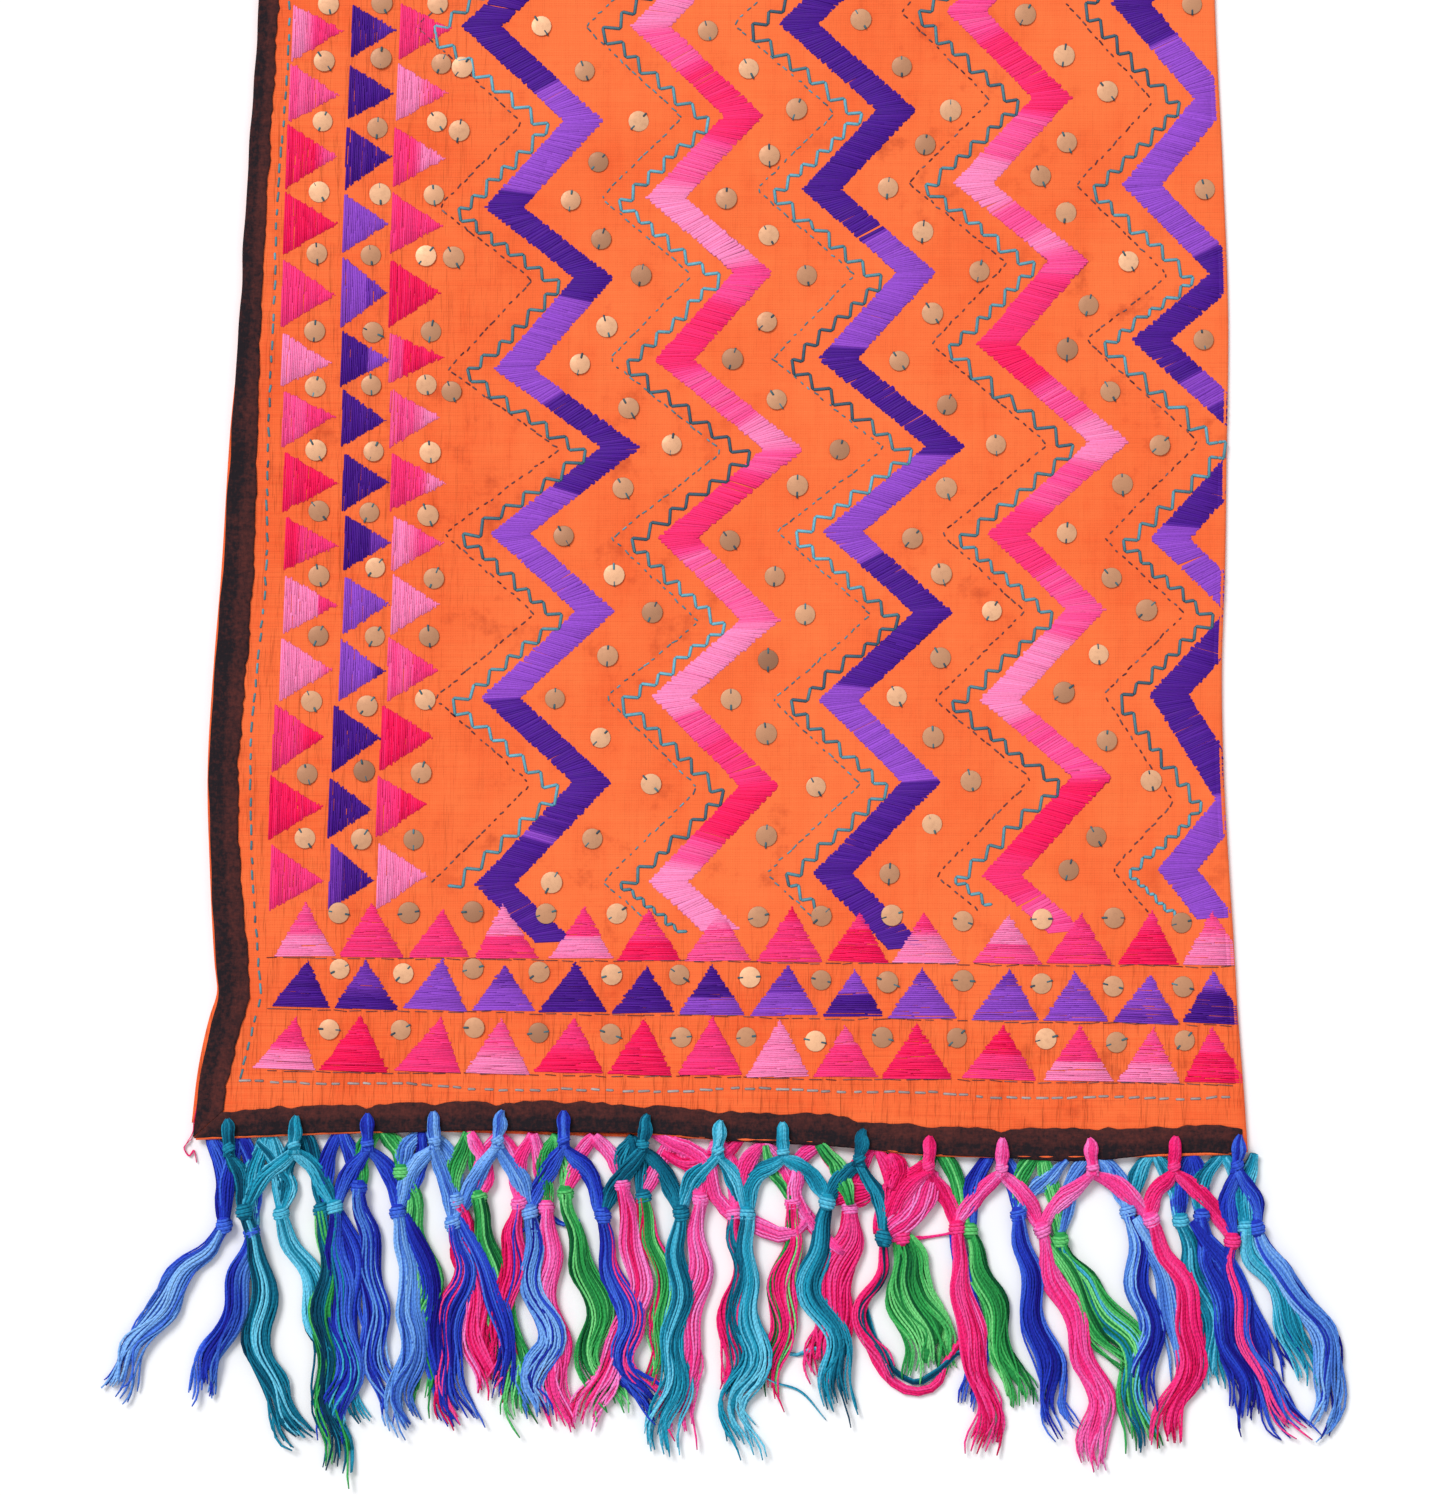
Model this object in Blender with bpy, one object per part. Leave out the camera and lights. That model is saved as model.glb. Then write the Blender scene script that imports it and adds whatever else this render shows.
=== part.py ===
"""A long embroidered cotton shawl, folded once along its length and laid flat.

The cloth is one wall: an under layer on the floor, a soft fold, and an upper layer on top. Flat tape
binds the upper layer's open edge and both hems, and a knotted yarn fringe hangs from each hem of each layer.

Sizes are in millimetres and become metres when a mesh is made. X runs across the folded cloth, from the
open edge to the fold. Y runs along it, from the near hem to the far hem. Z is up, and z = 0 is the floor.
"""

import math
from typing import NamedTuple

import bpy
import numpy as np

MM = 0.001

# Driving sizes of the cloth
LENGTH = 2200.0
WALL = 1.0
LAYER_GAP = 0.6
SEAM_GAP = 0.3
TAPE_THICK = 0.7
HEM_TAPE_WIDTH = 13.0
UNDER_PEEK = 1.5
BODY_WAVE = 0.6
HEM_LIFT = 2.2
HEM_REACH = 60.0
PUCKER = 0.7
PUCKER_REACH = 45.0
FOLD_STEPS = 4
FOLD_CLEAR = 5.0

# Driving sizes of the fringe
STRIP_WIDTH = 2.2
STRIP_THICK = 2.0
FLOOR_GAP = 0.4
YARN_THICK = 3.0
ROOT_WIDTH = 6.4
LOBE_REACH = 8.0
LOBE_THICK = 2.4
SPLIT_WIDTH = 7.0
LEG_WIDTH = 5.0
KNOT_WIDTH = 8.0
KNOT_LENGTH = 7.0
LOCK_WIDTH = 4.4
LOCK_OFFSET = 2.6
TIP_WIDTH = 3.4
TIP_THICK = 2.2
TIP_SPREAD = 1.3


class Edges(NamedTuple):
    """Where the sides of the upper layer run, at one distance along the cloth."""

    along: float
    open_edge: float
    fold: float
    tape: float


EDGES = [
    Edges(0, -0.4, 500.2, 13.0),
    Edges(27, 2.7, 498.4, 13.3),
    Edges(54, 8.1, 496.2, 14.3),
    Edges(67, 11.6, 495.2, 14.4),
    Edges(80, 10.6, 494.5, 15.0),
    Edges(131, 8.1, 491.2, 13.5),
    Edges(171, 7.1, 489.0, 13.6),
    Edges(228, 10.2, 488.0, 14.7),
    Edges(268, 13.5, 489.4, 14.3),
    Edges(323, 16.9, 490.2, 12.6),
    Edges(390, 21.4, 491.0, 10.0),
    Edges(460, 25.4, 488.5, 9.6),
    Edges(541, 30.6, 484.6, 9.0),
    Edges(700, 30.0, 486.0, 12.0),
    Edges(1000, 22.0, 489.0, 13.0),
    Edges(1400, 16.0, 491.0, 13.0),
    Edges(1800, 13.0, 490.0, 13.0),
    Edges(2100, 9.0, 492.0, 13.0),
    Edges(2200, 5.0, 494.0, 13.0),
]


class HemPoint(NamedTuple):
    """How far the near hem of the upper layer strays from a straight line, at one place across it."""

    across: float
    stray: float


NEAR_HEM = [
    HemPoint(0, 1.2),
    HemPoint(79, 4.4),
    HemPoint(210, 4.3),
    HemPoint(245, 1.4),
    HemPoint(295, -0.5),
    HemPoint(344, -6.0),
    HemPoint(390, -7.3),
    HemPoint(500, -5.7),
]
UNDER_HEM_OPEN = 8.0
UNDER_HEM_FOLD = -5.7
FAR_HEM_STRAY = 2.0
FAR_HEM_WAVES = 1.3
UNDER_FAR_INSET = 6.0

# Distances along the cloth at which its section is worked out, from the nearer hem
HEM_STATIONS = [0.0, 13.0, 27.0, 40.0, 54.0]
BODY_STATIONS = [80, 131, 171, 228, 268, 323, 390, 460, 541, 700, 850, 1000, 1200, 1400, 1600, 1800, 2000, 2100]


class Tassel(NamedTuple):
    """One step of the fringe: the root that its legs leave, and the knot and tassel to that root's right.

    Places across are from the cloth's open corner, and the drops are measured outwards from the hem.
    """

    root: float
    knot: float
    knot_drop: float
    tip: float
    tip_drop: float
    sway: float


NEAR_UPPER = [
    Tassel(16.6, 23.8, 36, 52.3, 146, -6),
    Tassel(47.5, 66.5, 34, 66.0, 142, 5),
    Tassel(82.2, 96.4, 37, 104.5, 142, 4),
    Tassel(114.0, 122.6, 43, 128.0, 138, -3),
    Tassel(143.9, 159.1, 38, 164.0, 136, 5),
    Tassel(175.3, 193.8, 39, 211.0, 126, 3),
    Tassel(212.8, 230.9, 36, 224.0, 150, -2),
    Tassel(248.4, 262.2, 37, 260.0, 145, 5),
    Tassel(279.3, 300.2, 29, 305.4, 128, -6),
    Tassel(315.4, 326.8, 44, 330.0, 114, -3),
    Tassel(348.2, 362.0, 36, 373.0, 143, 4),
    Tassel(382.9, 402.3, 34, 428.0, 150, 3),
    Tassel(426.0, 454.1, 31, 462.0, 137, 11),
    Tassel(464.6, 489.5, 42, 516.0, 134, -5),
    Tassel(494.6, 507.0, 36, 540.0, 128, 7),
]
NEAR_UNDER = [
    Tassel(8.0, 17.0, 44, -38.0, 124, -4),
    Tassel(22.5, 29.5, 45, 4.0, 124, -5),
    Tassel(36.0, 42.0, 40, 54.0, 128, 5),
    Tassel(50.0, 62.0, 37, 76.0, 160, -4),
    Tassel(80.0, 92.0, 31, 92.0, 138, 3),
    Tassel(108.0, 121.0, 27, 116.0, 128, 5),
    Tassel(132.0, 140.0, 31, 150.0, 138, 4),
    Tassel(151.0, 162.0, 26, 172.0, 146, -3),
    Tassel(171.0, 180.0, 31, 196.0, 130, 6),
    Tassel(196.0, 212.0, 28, 214.0, 130, 6),
    Tassel(228.0, 240.0, 33, 236.0, 142, -3),
    Tassel(256.0, 271.0, 26, 276.0, 124, 4),
    Tassel(290.0, 311.0, 25, 300.0, 134, -4),
    Tassel(326.0, 340.0, 38, 352.0, 130, 4),
    Tassel(354.0, 369.0, 37, 392.0, 124, 4),
    Tassel(382.0, 394.0, 30, 414.0, 136, 3),
    Tassel(420.0, 438.0, 26, 450.0, 142, -4),
    Tassel(462.0, 477.0, 30, 492.0, 132, 5),
]
FAR_TASSELS = 15


def far_tassels(shift, seed):
    """An even fringe for a far hem: roots one pitch apart, knots between them, with slow seeded wandering."""
    draw = np.random.default_rng(seed)
    pitch = (EDGES[-1].fold - EDGES[-1].open_edge - 2 * shift) / (FAR_TASSELS - 0.5)
    rows = []
    for i in range(FAR_TASSELS):
        root = EDGES[-1].open_edge + shift + i * pitch
        knot = root + pitch / 2 + draw.uniform(-2, 2)
        rows.append(
            Tassel(
                root,
                knot,
                36 + draw.uniform(-4, 4),
                knot + draw.uniform(-8, 8),
                140 + draw.uniform(-9, 9),
                draw.uniform(-6, 6),
            )
        )
    return rows


def ease(share):
    """Smooth step from 0 to 1."""
    share = np.clip(share, 0.0, 1.0)
    return share * share * (3 - 2 * share)


def edge_at(along, name):
    """One column of EDGES, read between its rows."""
    return np.interp(along, [row.along for row in EDGES], [getattr(row, name) for row in EDGES])


def near_hem(across):
    """The stray of the upper layer's near hem."""
    return np.interp(across, [row.across for row in NEAR_HEM], [row.stray for row in NEAR_HEM])


def far_hem(across):
    """The stray of the upper layer's far hem, a slow wave."""
    return FAR_HEM_STRAY * math.sin(FAR_HEM_WAVES * 2 * math.pi * across / EDGES[-1].fold)


def under_near_hem(across):
    """The under layer's near hem, a straight slanting line just inside the upper one."""
    share = across / EDGES[0].fold
    return UNDER_HEM_OPEN + (UNDER_HEM_FOLD - UNDER_HEM_OPEN) * share


def under_far_hem(across):
    """The under layer's far hem, which meets the upper one at the fold."""
    share = across / EDGES[-1].fold
    return -UNDER_FAR_INSET * (1 - share) + far_hem(EDGES[-1].fold) * share


def hem_distance(along):
    """How far a station is from the nearer hem."""
    return np.minimum(along, LENGTH - along)


def upper_underside(across, along, raised):
    """Height of the upper layer's lower face: the gap, slow waves, the lift over the fringe, and the puckers.

    raised is 1 on the ridge of a pucker and 0 in its valley.
    """
    far_from_hem = hem_distance(along)
    lift = 1 - ease(far_from_hem / HEM_REACH)
    slanting = math.sin(across / 61 + along / 170)
    crossing = math.sin(along / 97 - across / 83)
    wave = BODY_WAVE * (1 + 0.5 * slanting + 0.5 * crossing)
    pucker = PUCKER * raised * math.sin(math.pi * min(1.0, far_from_hem / PUCKER_REACH))
    return WALL + LAYER_GAP + wave * (1 - lift) + HEM_LIFT * lift + pucker


def stations():
    """Every distance along the cloth at which a section is made."""
    return HEM_STATIONS + [float(y) for y in BODY_STATIONS] + [LENGTH - y for y in reversed(HEM_STATIONS)]


class Column(NamedTuple):
    """One line of points along the upper layer: its share of the width past the tape, and its pucker ridge."""

    share: float
    raised: float


def columns():
    """The upper layer's lines of points: one at each root of the near fringe and one between each pair."""
    start = EDGES[0].open_edge + EDGES[0].tape
    width = EDGES[0].fold - start
    roots = [row.root for row in NEAR_UPPER]
    lines = []
    for left, right in zip(roots, roots[1:]):
        lines.append(Column((left - start) / width, 0.0))
        lines.append(Column(((left + right) / 2 - start) / width, 1.0))
    lines.append(Column((roots[-1] - start) / width, 0.0))
    return lines


def upper_points(along):
    """The upper layer at one station, as (across, y, underside height) from the open edge to the fold."""
    left, fold, tape = (float(edge_at(along, name)) for name in ("open_edge", "fold", "tape"))
    start = left + tape
    places = [(left, 0.0), (start, 0.0)]
    places += [(start + line.share * (fold - start), line.raised) for line in columns()]
    points = []
    for across, raised in places:
        points.append((across, along + stray_at(across, along), upper_underside(across, along, raised)))
    return points


def stray_at(across, along):
    """How far a point of the upper layer is moved along the cloth by the shape of its hems."""
    near = near_hem(across) * (1 - ease(along / (2 * HEM_REACH)))
    far = far_hem(across) * (1 - ease((LENGTH - along) / (2 * HEM_REACH)))
    return near + far


def under_stray_at(across, along):
    """The same for the under layer, whose hems are straight."""
    near = under_near_hem(across) * (1 - ease(along / (2 * HEM_REACH)))
    far = under_far_hem(across) * (1 - ease((LENGTH - along) / (2 * HEM_REACH)))
    return near + far


def under_left(along):
    """The under layer's open edge: it peeks out beside the near half of the upper layer."""
    peek = UNDER_PEEK * (1 - 2 * ease((along - 330.0) / 90.0))
    return float(edge_at(along, "open_edge")) - peek


UNDER_SHARES = [0.0, 0.33, 0.67, 1.0]


def section(along):
    """The closed outline of the cloth wall at one station: its outer points, then its inner points.

    Both run from the under layer's open edge, round the fold, to the upper layer's open edge. The fold is a
    half circle whose radius is half of the folded height there.
    """
    upper = upper_points(along)
    fold = float(edge_at(along, "fold"))
    last_x, last_y, last_z = upper[-1]
    height = last_z + WALL
    radius = height / 2
    reach = fold - min(fold - radius, last_x)
    left = under_left(along)
    outer, inner = [], []
    for share in UNDER_SHARES:
        across = left + share * (fold - reach - left)
        y = along + under_stray_at(across, along)
        outer.append((across, y, 0.0))
        inner.append((across, y, WALL))
    low_y = outer[-1][1]
    for step in range(1, FOLD_STEPS):
        angle = -math.pi / 2 + math.pi * step / FOLD_STEPS
        y = low_y + (last_y - low_y) * step / FOLD_STEPS
        turn, rise = math.cos(angle), math.sin(angle)
        outer.append((fold - reach + reach * turn, y, radius + radius * rise))
        inner.append((fold - reach + (reach - WALL) * turn, y, radius + (radius - WALL) * rise))
    for across, y, z in reversed(upper):
        outer.append((across, y, z + WALL))
        inner.append((across, y, z))
    return outer, inner


def make_node(name, vertices, faces, colour, roughness):
    """One closed solid as an object, with its faces turned outwards and its own material."""
    mesh = bpy.data.meshes.new(name)
    mesh.from_pydata([tuple(c * MM for c in v) for v in vertices], [], faces)
    mesh.validate()
    node = bpy.data.objects.new(name, mesh)
    bpy.context.scene.collection.objects.link(node)
    material = bpy.data.materials.new(name)
    material.use_nodes = True
    finish = material.node_tree.nodes["Principled BSDF"]
    finish.inputs["Base Color"].default_value = (*colour, 1.0)
    finish.inputs["Roughness"].default_value = roughness
    finish.inputs["Metallic"].default_value = 0.0
    mesh.materials.append(material)
    turn_outwards(mesh)
    return node


def turn_outwards(mesh):
    """Makes every face of a closed mesh point out, by the sign of the volume that it holds."""
    mesh.calc_loop_triangles()
    points = np.array([v.co for v in mesh.vertices])
    corners = points[np.array([t.vertices for t in mesh.loop_triangles])]
    if np.linalg.det(corners).sum() < 0:
        mesh.flip_normals()


def skin(rings, closed_ends=True):
    """(vertices, triangles) of a body swept through closed rings with the same number of points."""
    count = len(rings[0])
    vertices = [point for ring in rings for point in ring]
    faces = []
    for r in range(len(rings) - 1):
        for i in range(count):
            a, b = r * count + i, r * count + (i + 1) % count
            faces += [(a, b, b + count), (a, b + count, a + count)]
    if closed_ends:
        half = count // 2
        for base, flip in ((0, True), ((len(rings) - 1) * count, False)):
            for i in range(half - 1):
                quad = (base + i, base + i + 1, base + count - 2 - i, base + count - 1 - i)
                faces.append(tuple(reversed(quad)) if flip else quad)
    return vertices, faces


def make_cloth(colour):
    """The whole cloth: sections of the folded wall, swept from the near hem to the far hem."""
    rings = []
    for along in stations():
        outer, inner = section(along)
        rings.append(outer + list(reversed(inner)))
    make_node("cloth", *skin(rings), colour, 0.85)


def tape_points(point):
    """The lower and upper point of a tape that lies over one point of the upper layer's underside."""
    across, y, z = point
    low = z + WALL + SEAM_GAP
    return (across, y, low), (across, y, low + TAPE_THICK)


def flat_strip(name, lines, colour):
    """A tape from pairs of points on the upper layer, its two edges, moved up off the cloth."""
    rings = []
    for first, second in lines:
        low_first, high_first = tape_points(first)
        low_second, high_second = tape_points(second)
        rings.append([low_first, low_second, high_second, high_first])
    make_node(name, *skin(rings), colour, 0.8)


def part_way(start, end, share):
    """A point on the line from start to end, by share."""
    return tuple(a + (b - a) * share for a, b in zip(start, end))


def make_tapes(colour):
    """The tape on both hems and down the open edge, mitred at the two corners that it turns."""
    rows = {along: upper_points(along) for along in stations()}
    order = stations()
    mitre = SEAM_GAP / HEM_TAPE_WIDTH
    for name, hem, inside in (("tape_near_hem", order[0], order[1]), ("tape_far_hem", order[-1], order[-2])):
        lines = [(rows[hem][0], part_way(rows[hem][0], rows[inside][1], 2 * mitre))]
        lines += list(zip(rows[hem][1:], rows[inside][1:]))
        flat_strip(name, lines, colour)
    lines = [(rows[along][0], rows[along][1]) for along in order[1:-1]]
    for end, corner, inside in ((0, order[0], order[1]), (-1, order[-1], order[-2])):
        toward = 1 if end == 0 else -1
        gap = (0.0, toward * 2 * SEAM_GAP, 0.0)
        outer_corner = tuple(a + 2 * b for a, b in zip(rows[corner][0], gap))
        inner_corner = tuple(a + b for a, b in zip(rows[inside][1], gap))
        lines[end] = (rows[inside][0], inner_corner)
        mitred = (outer_corner, part_way(outer_corner, inner_corner, 4 * mitre))
        if end == 0:
            lines.insert(0, mitred)
        else:
            lines.append(mitred)
    flat_strip("tape_open_edge", lines, colour)


class FringeBody:
    """The mesh of one fringe: a strip, and from it roots, legs, knots and locks that all share their points.

    A ring is a list of columns across the yarn, each a (lower, upper) pair of point numbers. A run between
    two rings is closed on all four sides, and its ends stay open for the next ring or a cap.
    """

    def __init__(self, hem_line, outward, leg_steps, lock_steps):
        self.hem_line = hem_line
        self.outward = outward
        self.leg_steps = leg_steps
        self.lock_steps = lock_steps
        self.vertices = []
        self.faces = []

    def column(self, across, drop, low, high):
        """Adds one column of two points, at a drop outwards from the hem line."""
        y = self.hem_line(across) + self.outward * drop
        self.vertices += [(across, y, low), (across, y, high)]
        return len(self.vertices) - 2, len(self.vertices) - 1

    def ring(self, across, drop, heading, width, low, high, cells=1):
        """A ring square to a heading, an angle from straight outwards towards the fold."""
        columns_ = []
        for i in range(cells + 1):
            side = (i / cells - 0.5) * width
            columns_.append(
                self.column(across + side * math.cos(heading), drop - side * math.sin(heading), low, high)
            )
        return columns_

    def run(self, first, second):
        """The four sides between two rings; one of them may have an extra column in its middle."""
        if len(first) == len(second):
            for i in range(len(first) - 1):
                self.faces.append((first[i][0], first[i + 1][0], second[i + 1][0], second[i][0]))
                self.faces.append((second[i][1], second[i + 1][1], first[i + 1][1], first[i][1]))
        else:
            lower = [c[0] for c in first] + [c[0] for c in reversed(second)]
            upper = [c[1] for c in first] + [c[1] for c in reversed(second)]
            self.faces += [tuple(lower), tuple(reversed(upper))]
        self.faces.append((first[0][1], first[0][0], second[0][0], second[0][1]))
        self.faces.append((first[-1][0], first[-1][1], second[-1][1], second[-1][0]))

    def cap(self, ring, at_start=False):
        """Closes the open end of a ring."""
        for left, right in zip(ring, ring[1:]):
            quad = (left[0], right[0], right[1], left[1])
            self.faces.append(tuple(reversed(quad)) if at_start else quad)

    def strip(self, tassels, low, first, last, lobes):
        """The rolled edge that carries every root: a bar along the hem, open in front at each root."""
        high = low + STRIP_THICK
        stops = [(first, False)]
        for row, after in zip(tassels, tassels[1:] + [None]):
            stops.append((row.root - ROOT_WIDTH / 2, True))
            stops.append((row.root + ROOT_WIDTH / 2, False))
            if after is not None:
                stops.append(((row.root + after.root) / 2, False))
        stops.append((last, False))
        backs = [self.column(x, SEAM_GAP, low, high) for x, _ in stops]
        fronts = [self.column(x, SEAM_GAP + STRIP_WIDTH, low, high) for x, _ in stops]
        roots = []
        for i in range(len(stops) - 1):
            b0, b1, f0, f1 = backs[i], backs[i + 1], fronts[i], fronts[i + 1]
            self.faces.append((b0[0], b1[0], f1[0], f0[0]))
            self.faces.append((b1[0], b0[0], b0[1], b1[1]))
            if stops[i][1]:
                roots.append([f0, f1])
            else:
                self.faces.append((f0[0], f1[0], f1[1], f0[1]))
            if stops[i][1] and lobes:
                self.lobe(b0, b1, f0, f1, high)
            else:
                self.faces.append((b0[1], f0[1], f1[1], b1[1]))
        for b, f, flip in ((backs[0], fronts[0], False), (backs[-1], fronts[-1], True)):
            quad = (b[0], f[0], f[1], b[1])
            self.faces.append(tuple(reversed(quad)) if flip else quad)
        return roots

    def lobe(self, b0, b1, f0, f1, high):
        """The loop of yarn that lies back over the tape, raised from the strip's top at one root."""
        left, right = self.vertices[b0[1]][0], self.vertices[b1[1]][0]
        middle = (left + right) / 2
        foot, top = high + SEAM_GAP, high + SEAM_GAP + LOBE_THICK
        low_back = [self.column(x, SEAM_GAP, foot, top) for x in (left, right)]
        front = [self.column(x, SEAM_GAP + STRIP_WIDTH, foot, top) for x in (left, right)]
        for a, b, up_a, up_b in (
            (f0[1], f1[1], front[0][0], front[1][0]),
            (b1[1], b0[1], low_back[1][0], low_back[0][0]),
            (b0[1], f0[1], low_back[0][0], front[0][0]),
            (f1[1], b1[1], front[1][0], low_back[1][0]),
            (front[0][0], front[1][0], front[0][1], front[1][1]),
            (low_back[0][0], front[0][0], low_back[0][1], front[0][1]),
            (front[1][0], low_back[1][0], front[1][1], low_back[1][1]),
        ):
            self.faces.append((a, b, up_b, up_a))
        self.faces.append((low_back[0][1], front[0][1], front[1][1], low_back[1][1]))
        belly = self.ring(middle, SEAM_GAP - LOBE_REACH * 0.5, 0.0, ROOT_WIDTH * 1.05, foot, top - 0.2)
        tip = self.ring(middle, SEAM_GAP - LOBE_REACH, 0.0, ROOT_WIDTH * 0.45, foot, foot + LOBE_THICK * 0.5)
        self.run(list(reversed(low_back)), list(reversed(belly)))
        self.run(list(reversed(belly)), list(reversed(tip)))
        self.cap(list(reversed(tip)))

    def leg(self, start, end, low, high):
        """A leg of yarn from a cell of a split to a cell of a knot, fuller in its middle."""
        places = [np.mean([self.vertices[c[0]] for c in ring], axis=0) for ring in (start, end)]
        x0, x1 = places[0][0], places[1][0]
        drops = [self.outward * (p[1] - self.hem_line(p[0])) for p in places]
        heading = math.atan2(x1 - x0, drops[1] - drops[0])
        before = start
        for step in range(1, self.leg_steps):
            share = step / self.leg_steps
            across = x0 + (x1 - x0) * share
            drop = drops[0] + (drops[1] - drops[0]) * share
            ring = self.ring(across, drop, heading * 0.8, LEG_WIDTH, low, high)
            self.run(before, ring)
            before = ring
        self.run(before, end)

    def lock(self, start, row, side, low, high):
        """Half of a tassel: it leaves the knot beside its twin, sways once each way, and ends in a cut tip."""
        before = start
        drop0 = row.knot_drop + KNOT_LENGTH / 2
        for step in range(1, self.lock_steps + 1):
            share = step / self.lock_steps
            across = row.knot + (row.tip - row.knot) * share + row.sway * math.sin(math.pi * share)
            drop = drop0 + (row.tip_drop - drop0) * share
            slope = (row.tip - row.knot) + row.sway * math.pi * math.cos(math.pi * share)
            heading = math.atan2(slope, row.tip_drop - drop0)
            apart = side * LOCK_OFFSET * (1 + (TIP_SPREAD - 1) * share)
            width = LOCK_WIDTH + (TIP_WIDTH - LOCK_WIDTH) * share
            thick = (high - low) + (TIP_THICK - (high - low)) * share
            across += apart * math.cos(heading)
            drop -= apart * math.sin(heading)
            ring = self.ring(across, drop, heading, width, low, low + thick)
            self.run(before, ring)
            before = ring
        self.cap(before)

    def build(self, tassels, low, first, last, lobes):
        """Strip, roots, legs, knots and locks, with each leg led to the knot that it shares."""
        high = low + YARN_THICK
        neck_drop = SEAM_GAP + STRIP_WIDTH + 5.0
        splits = []
        for row, root in zip(tassels, self.strip(tassels, low, first, last, lobes)):
            split = self.ring(row.root, neck_drop, 0.0, SPLIT_WIDTH, low, high, cells=2)
            self.run(root, split)
            splits.append(split)
        self.cap(splits[0][:2])
        for i, row in enumerate(tassels):
            back = self.ring(row.knot, row.knot_drop - KNOT_LENGTH / 2, 0.0, KNOT_WIDTH, low, high, cells=2)
            front = self.ring(row.knot, row.knot_drop + KNOT_LENGTH / 2, 0.0, KNOT_WIDTH, low, high, cells=2)
            self.run(back, front)
            self.leg(splits[i][1:], back[:2], low, high)
            if i + 1 < len(tassels):
                self.leg(splits[i + 1][:2], back[1:], low, high)
            else:
                self.cap(back[1:], at_start=True)
            self.lock(front[:2], row, -1, low, high)
            self.lock(front[1:], row, 1, low, high)


def make_fringes(colours):
    """The four fringes: one on each hem of each layer."""
    upper_low = WALL + LAYER_GAP + HEM_LIFT
    near_xs = [point[0] for point in upper_points(0.0)]
    near_ys = [point[1] for point in upper_points(0.0)]
    far_xs = [point[0] for point in upper_points(LENGTH)]
    far_ys = [point[1] for point in upper_points(LENGTH)]
    near_line = lambda x: np.interp(x, near_xs, near_ys)
    far_line = lambda x: np.interp(x, far_xs, far_ys)
    under_far_line = lambda x: LENGTH + under_far_hem(x)
    fringes = (
        ("fringe_near_upper", NEAR_UPPER, near_line, -1, upper_low, 3, 4, True),
        ("fringe_near_under", NEAR_UNDER, under_near_hem, -1, FLOOR_GAP, 2, 4, False),
        ("fringe_far_upper", far_tassels(9.0, 5), far_line, 1, upper_low, 2, 3, True),
        ("fringe_far_under", far_tassels(16.0, 8), under_far_line, 1, FLOOR_GAP, 2, 3, False),
    )
    for (name, tassels, hem_line, outward, low, leg_steps, lock_steps, lobes), colour in zip(fringes, colours):
        body = FringeBody(hem_line, outward, leg_steps, lock_steps)
        ends = EDGES[0] if outward < 0 else EDGES[-1]
        body.build(tassels, low, ends.open_edge + 0.5, ends.fold - (1.0 if lobes else FOLD_CLEAR), lobes)
        make_node(name, body.vertices, body.faces, colour, 0.9)


def centre_on_origin():
    """Moves every node so that the middle of the whole shawl's box stands on the origin."""
    nodes = [o for o in bpy.context.scene.objects if o.type == "MESH"]
    points = np.concatenate([np.array([v.co for v in node.data.vertices]) for node in nodes])
    middle = (points.min(axis=0) + points.max(axis=0)) / 2
    for node in nodes:
        for vertex in node.data.vertices:
            vertex.co.x -= middle[0]
            vertex.co.y -= middle[1]


def main():
    """Clears the scene and builds the shawl."""
    for old in list(bpy.data.objects):
        bpy.data.objects.remove(old)
    make_cloth((0.86, 0.16, 0.035))
    make_tapes((0.03, 0.02, 0.02))
    make_fringes([(0.03, 0.25, 0.4), (0.04, 0.06, 0.45), (0.75, 0.03, 0.2), (0.05, 0.35, 0.1)])
    centre_on_origin()


main()
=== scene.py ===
"""Looks of a phulkari shawl that is folded once along its length and laid flat.

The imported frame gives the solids. This script dresses them: cotton with its weave and puckers, thin dark
tape, floss embroidery made stitch by stitch, sequins, and a knotted fringe of loose yarn.

Sizes are in millimetres on the shawl's own plan: `across` runs from the open edge to the fold, `along` from
the near hem to the far hem, and height is from the floor. A mesh is turned into metres when it is made.
"""

import logging
import math
from dataclasses import dataclass, field, replace
from enum import Enum
from typing import NamedTuple, Optional, Sequence

import bpy
import numpy as np
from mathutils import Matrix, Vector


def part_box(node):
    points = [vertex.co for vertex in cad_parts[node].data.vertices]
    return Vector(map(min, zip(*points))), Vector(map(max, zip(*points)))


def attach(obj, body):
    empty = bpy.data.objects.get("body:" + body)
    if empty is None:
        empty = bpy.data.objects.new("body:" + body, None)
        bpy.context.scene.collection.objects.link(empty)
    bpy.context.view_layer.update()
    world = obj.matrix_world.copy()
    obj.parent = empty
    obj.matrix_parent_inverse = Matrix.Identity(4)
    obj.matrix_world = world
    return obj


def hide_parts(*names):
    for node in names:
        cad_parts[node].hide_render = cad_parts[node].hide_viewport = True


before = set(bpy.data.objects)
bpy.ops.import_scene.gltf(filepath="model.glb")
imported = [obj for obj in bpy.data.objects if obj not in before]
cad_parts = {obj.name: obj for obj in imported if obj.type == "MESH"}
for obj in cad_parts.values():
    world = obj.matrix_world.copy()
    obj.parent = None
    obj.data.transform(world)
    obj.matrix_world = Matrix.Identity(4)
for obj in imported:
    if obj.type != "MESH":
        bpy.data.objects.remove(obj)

Array = np.ndarray
Colour = tuple[float, float, float]

LOG = logging.getLogger("shawl")
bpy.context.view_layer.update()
MM = 0.001

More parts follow.
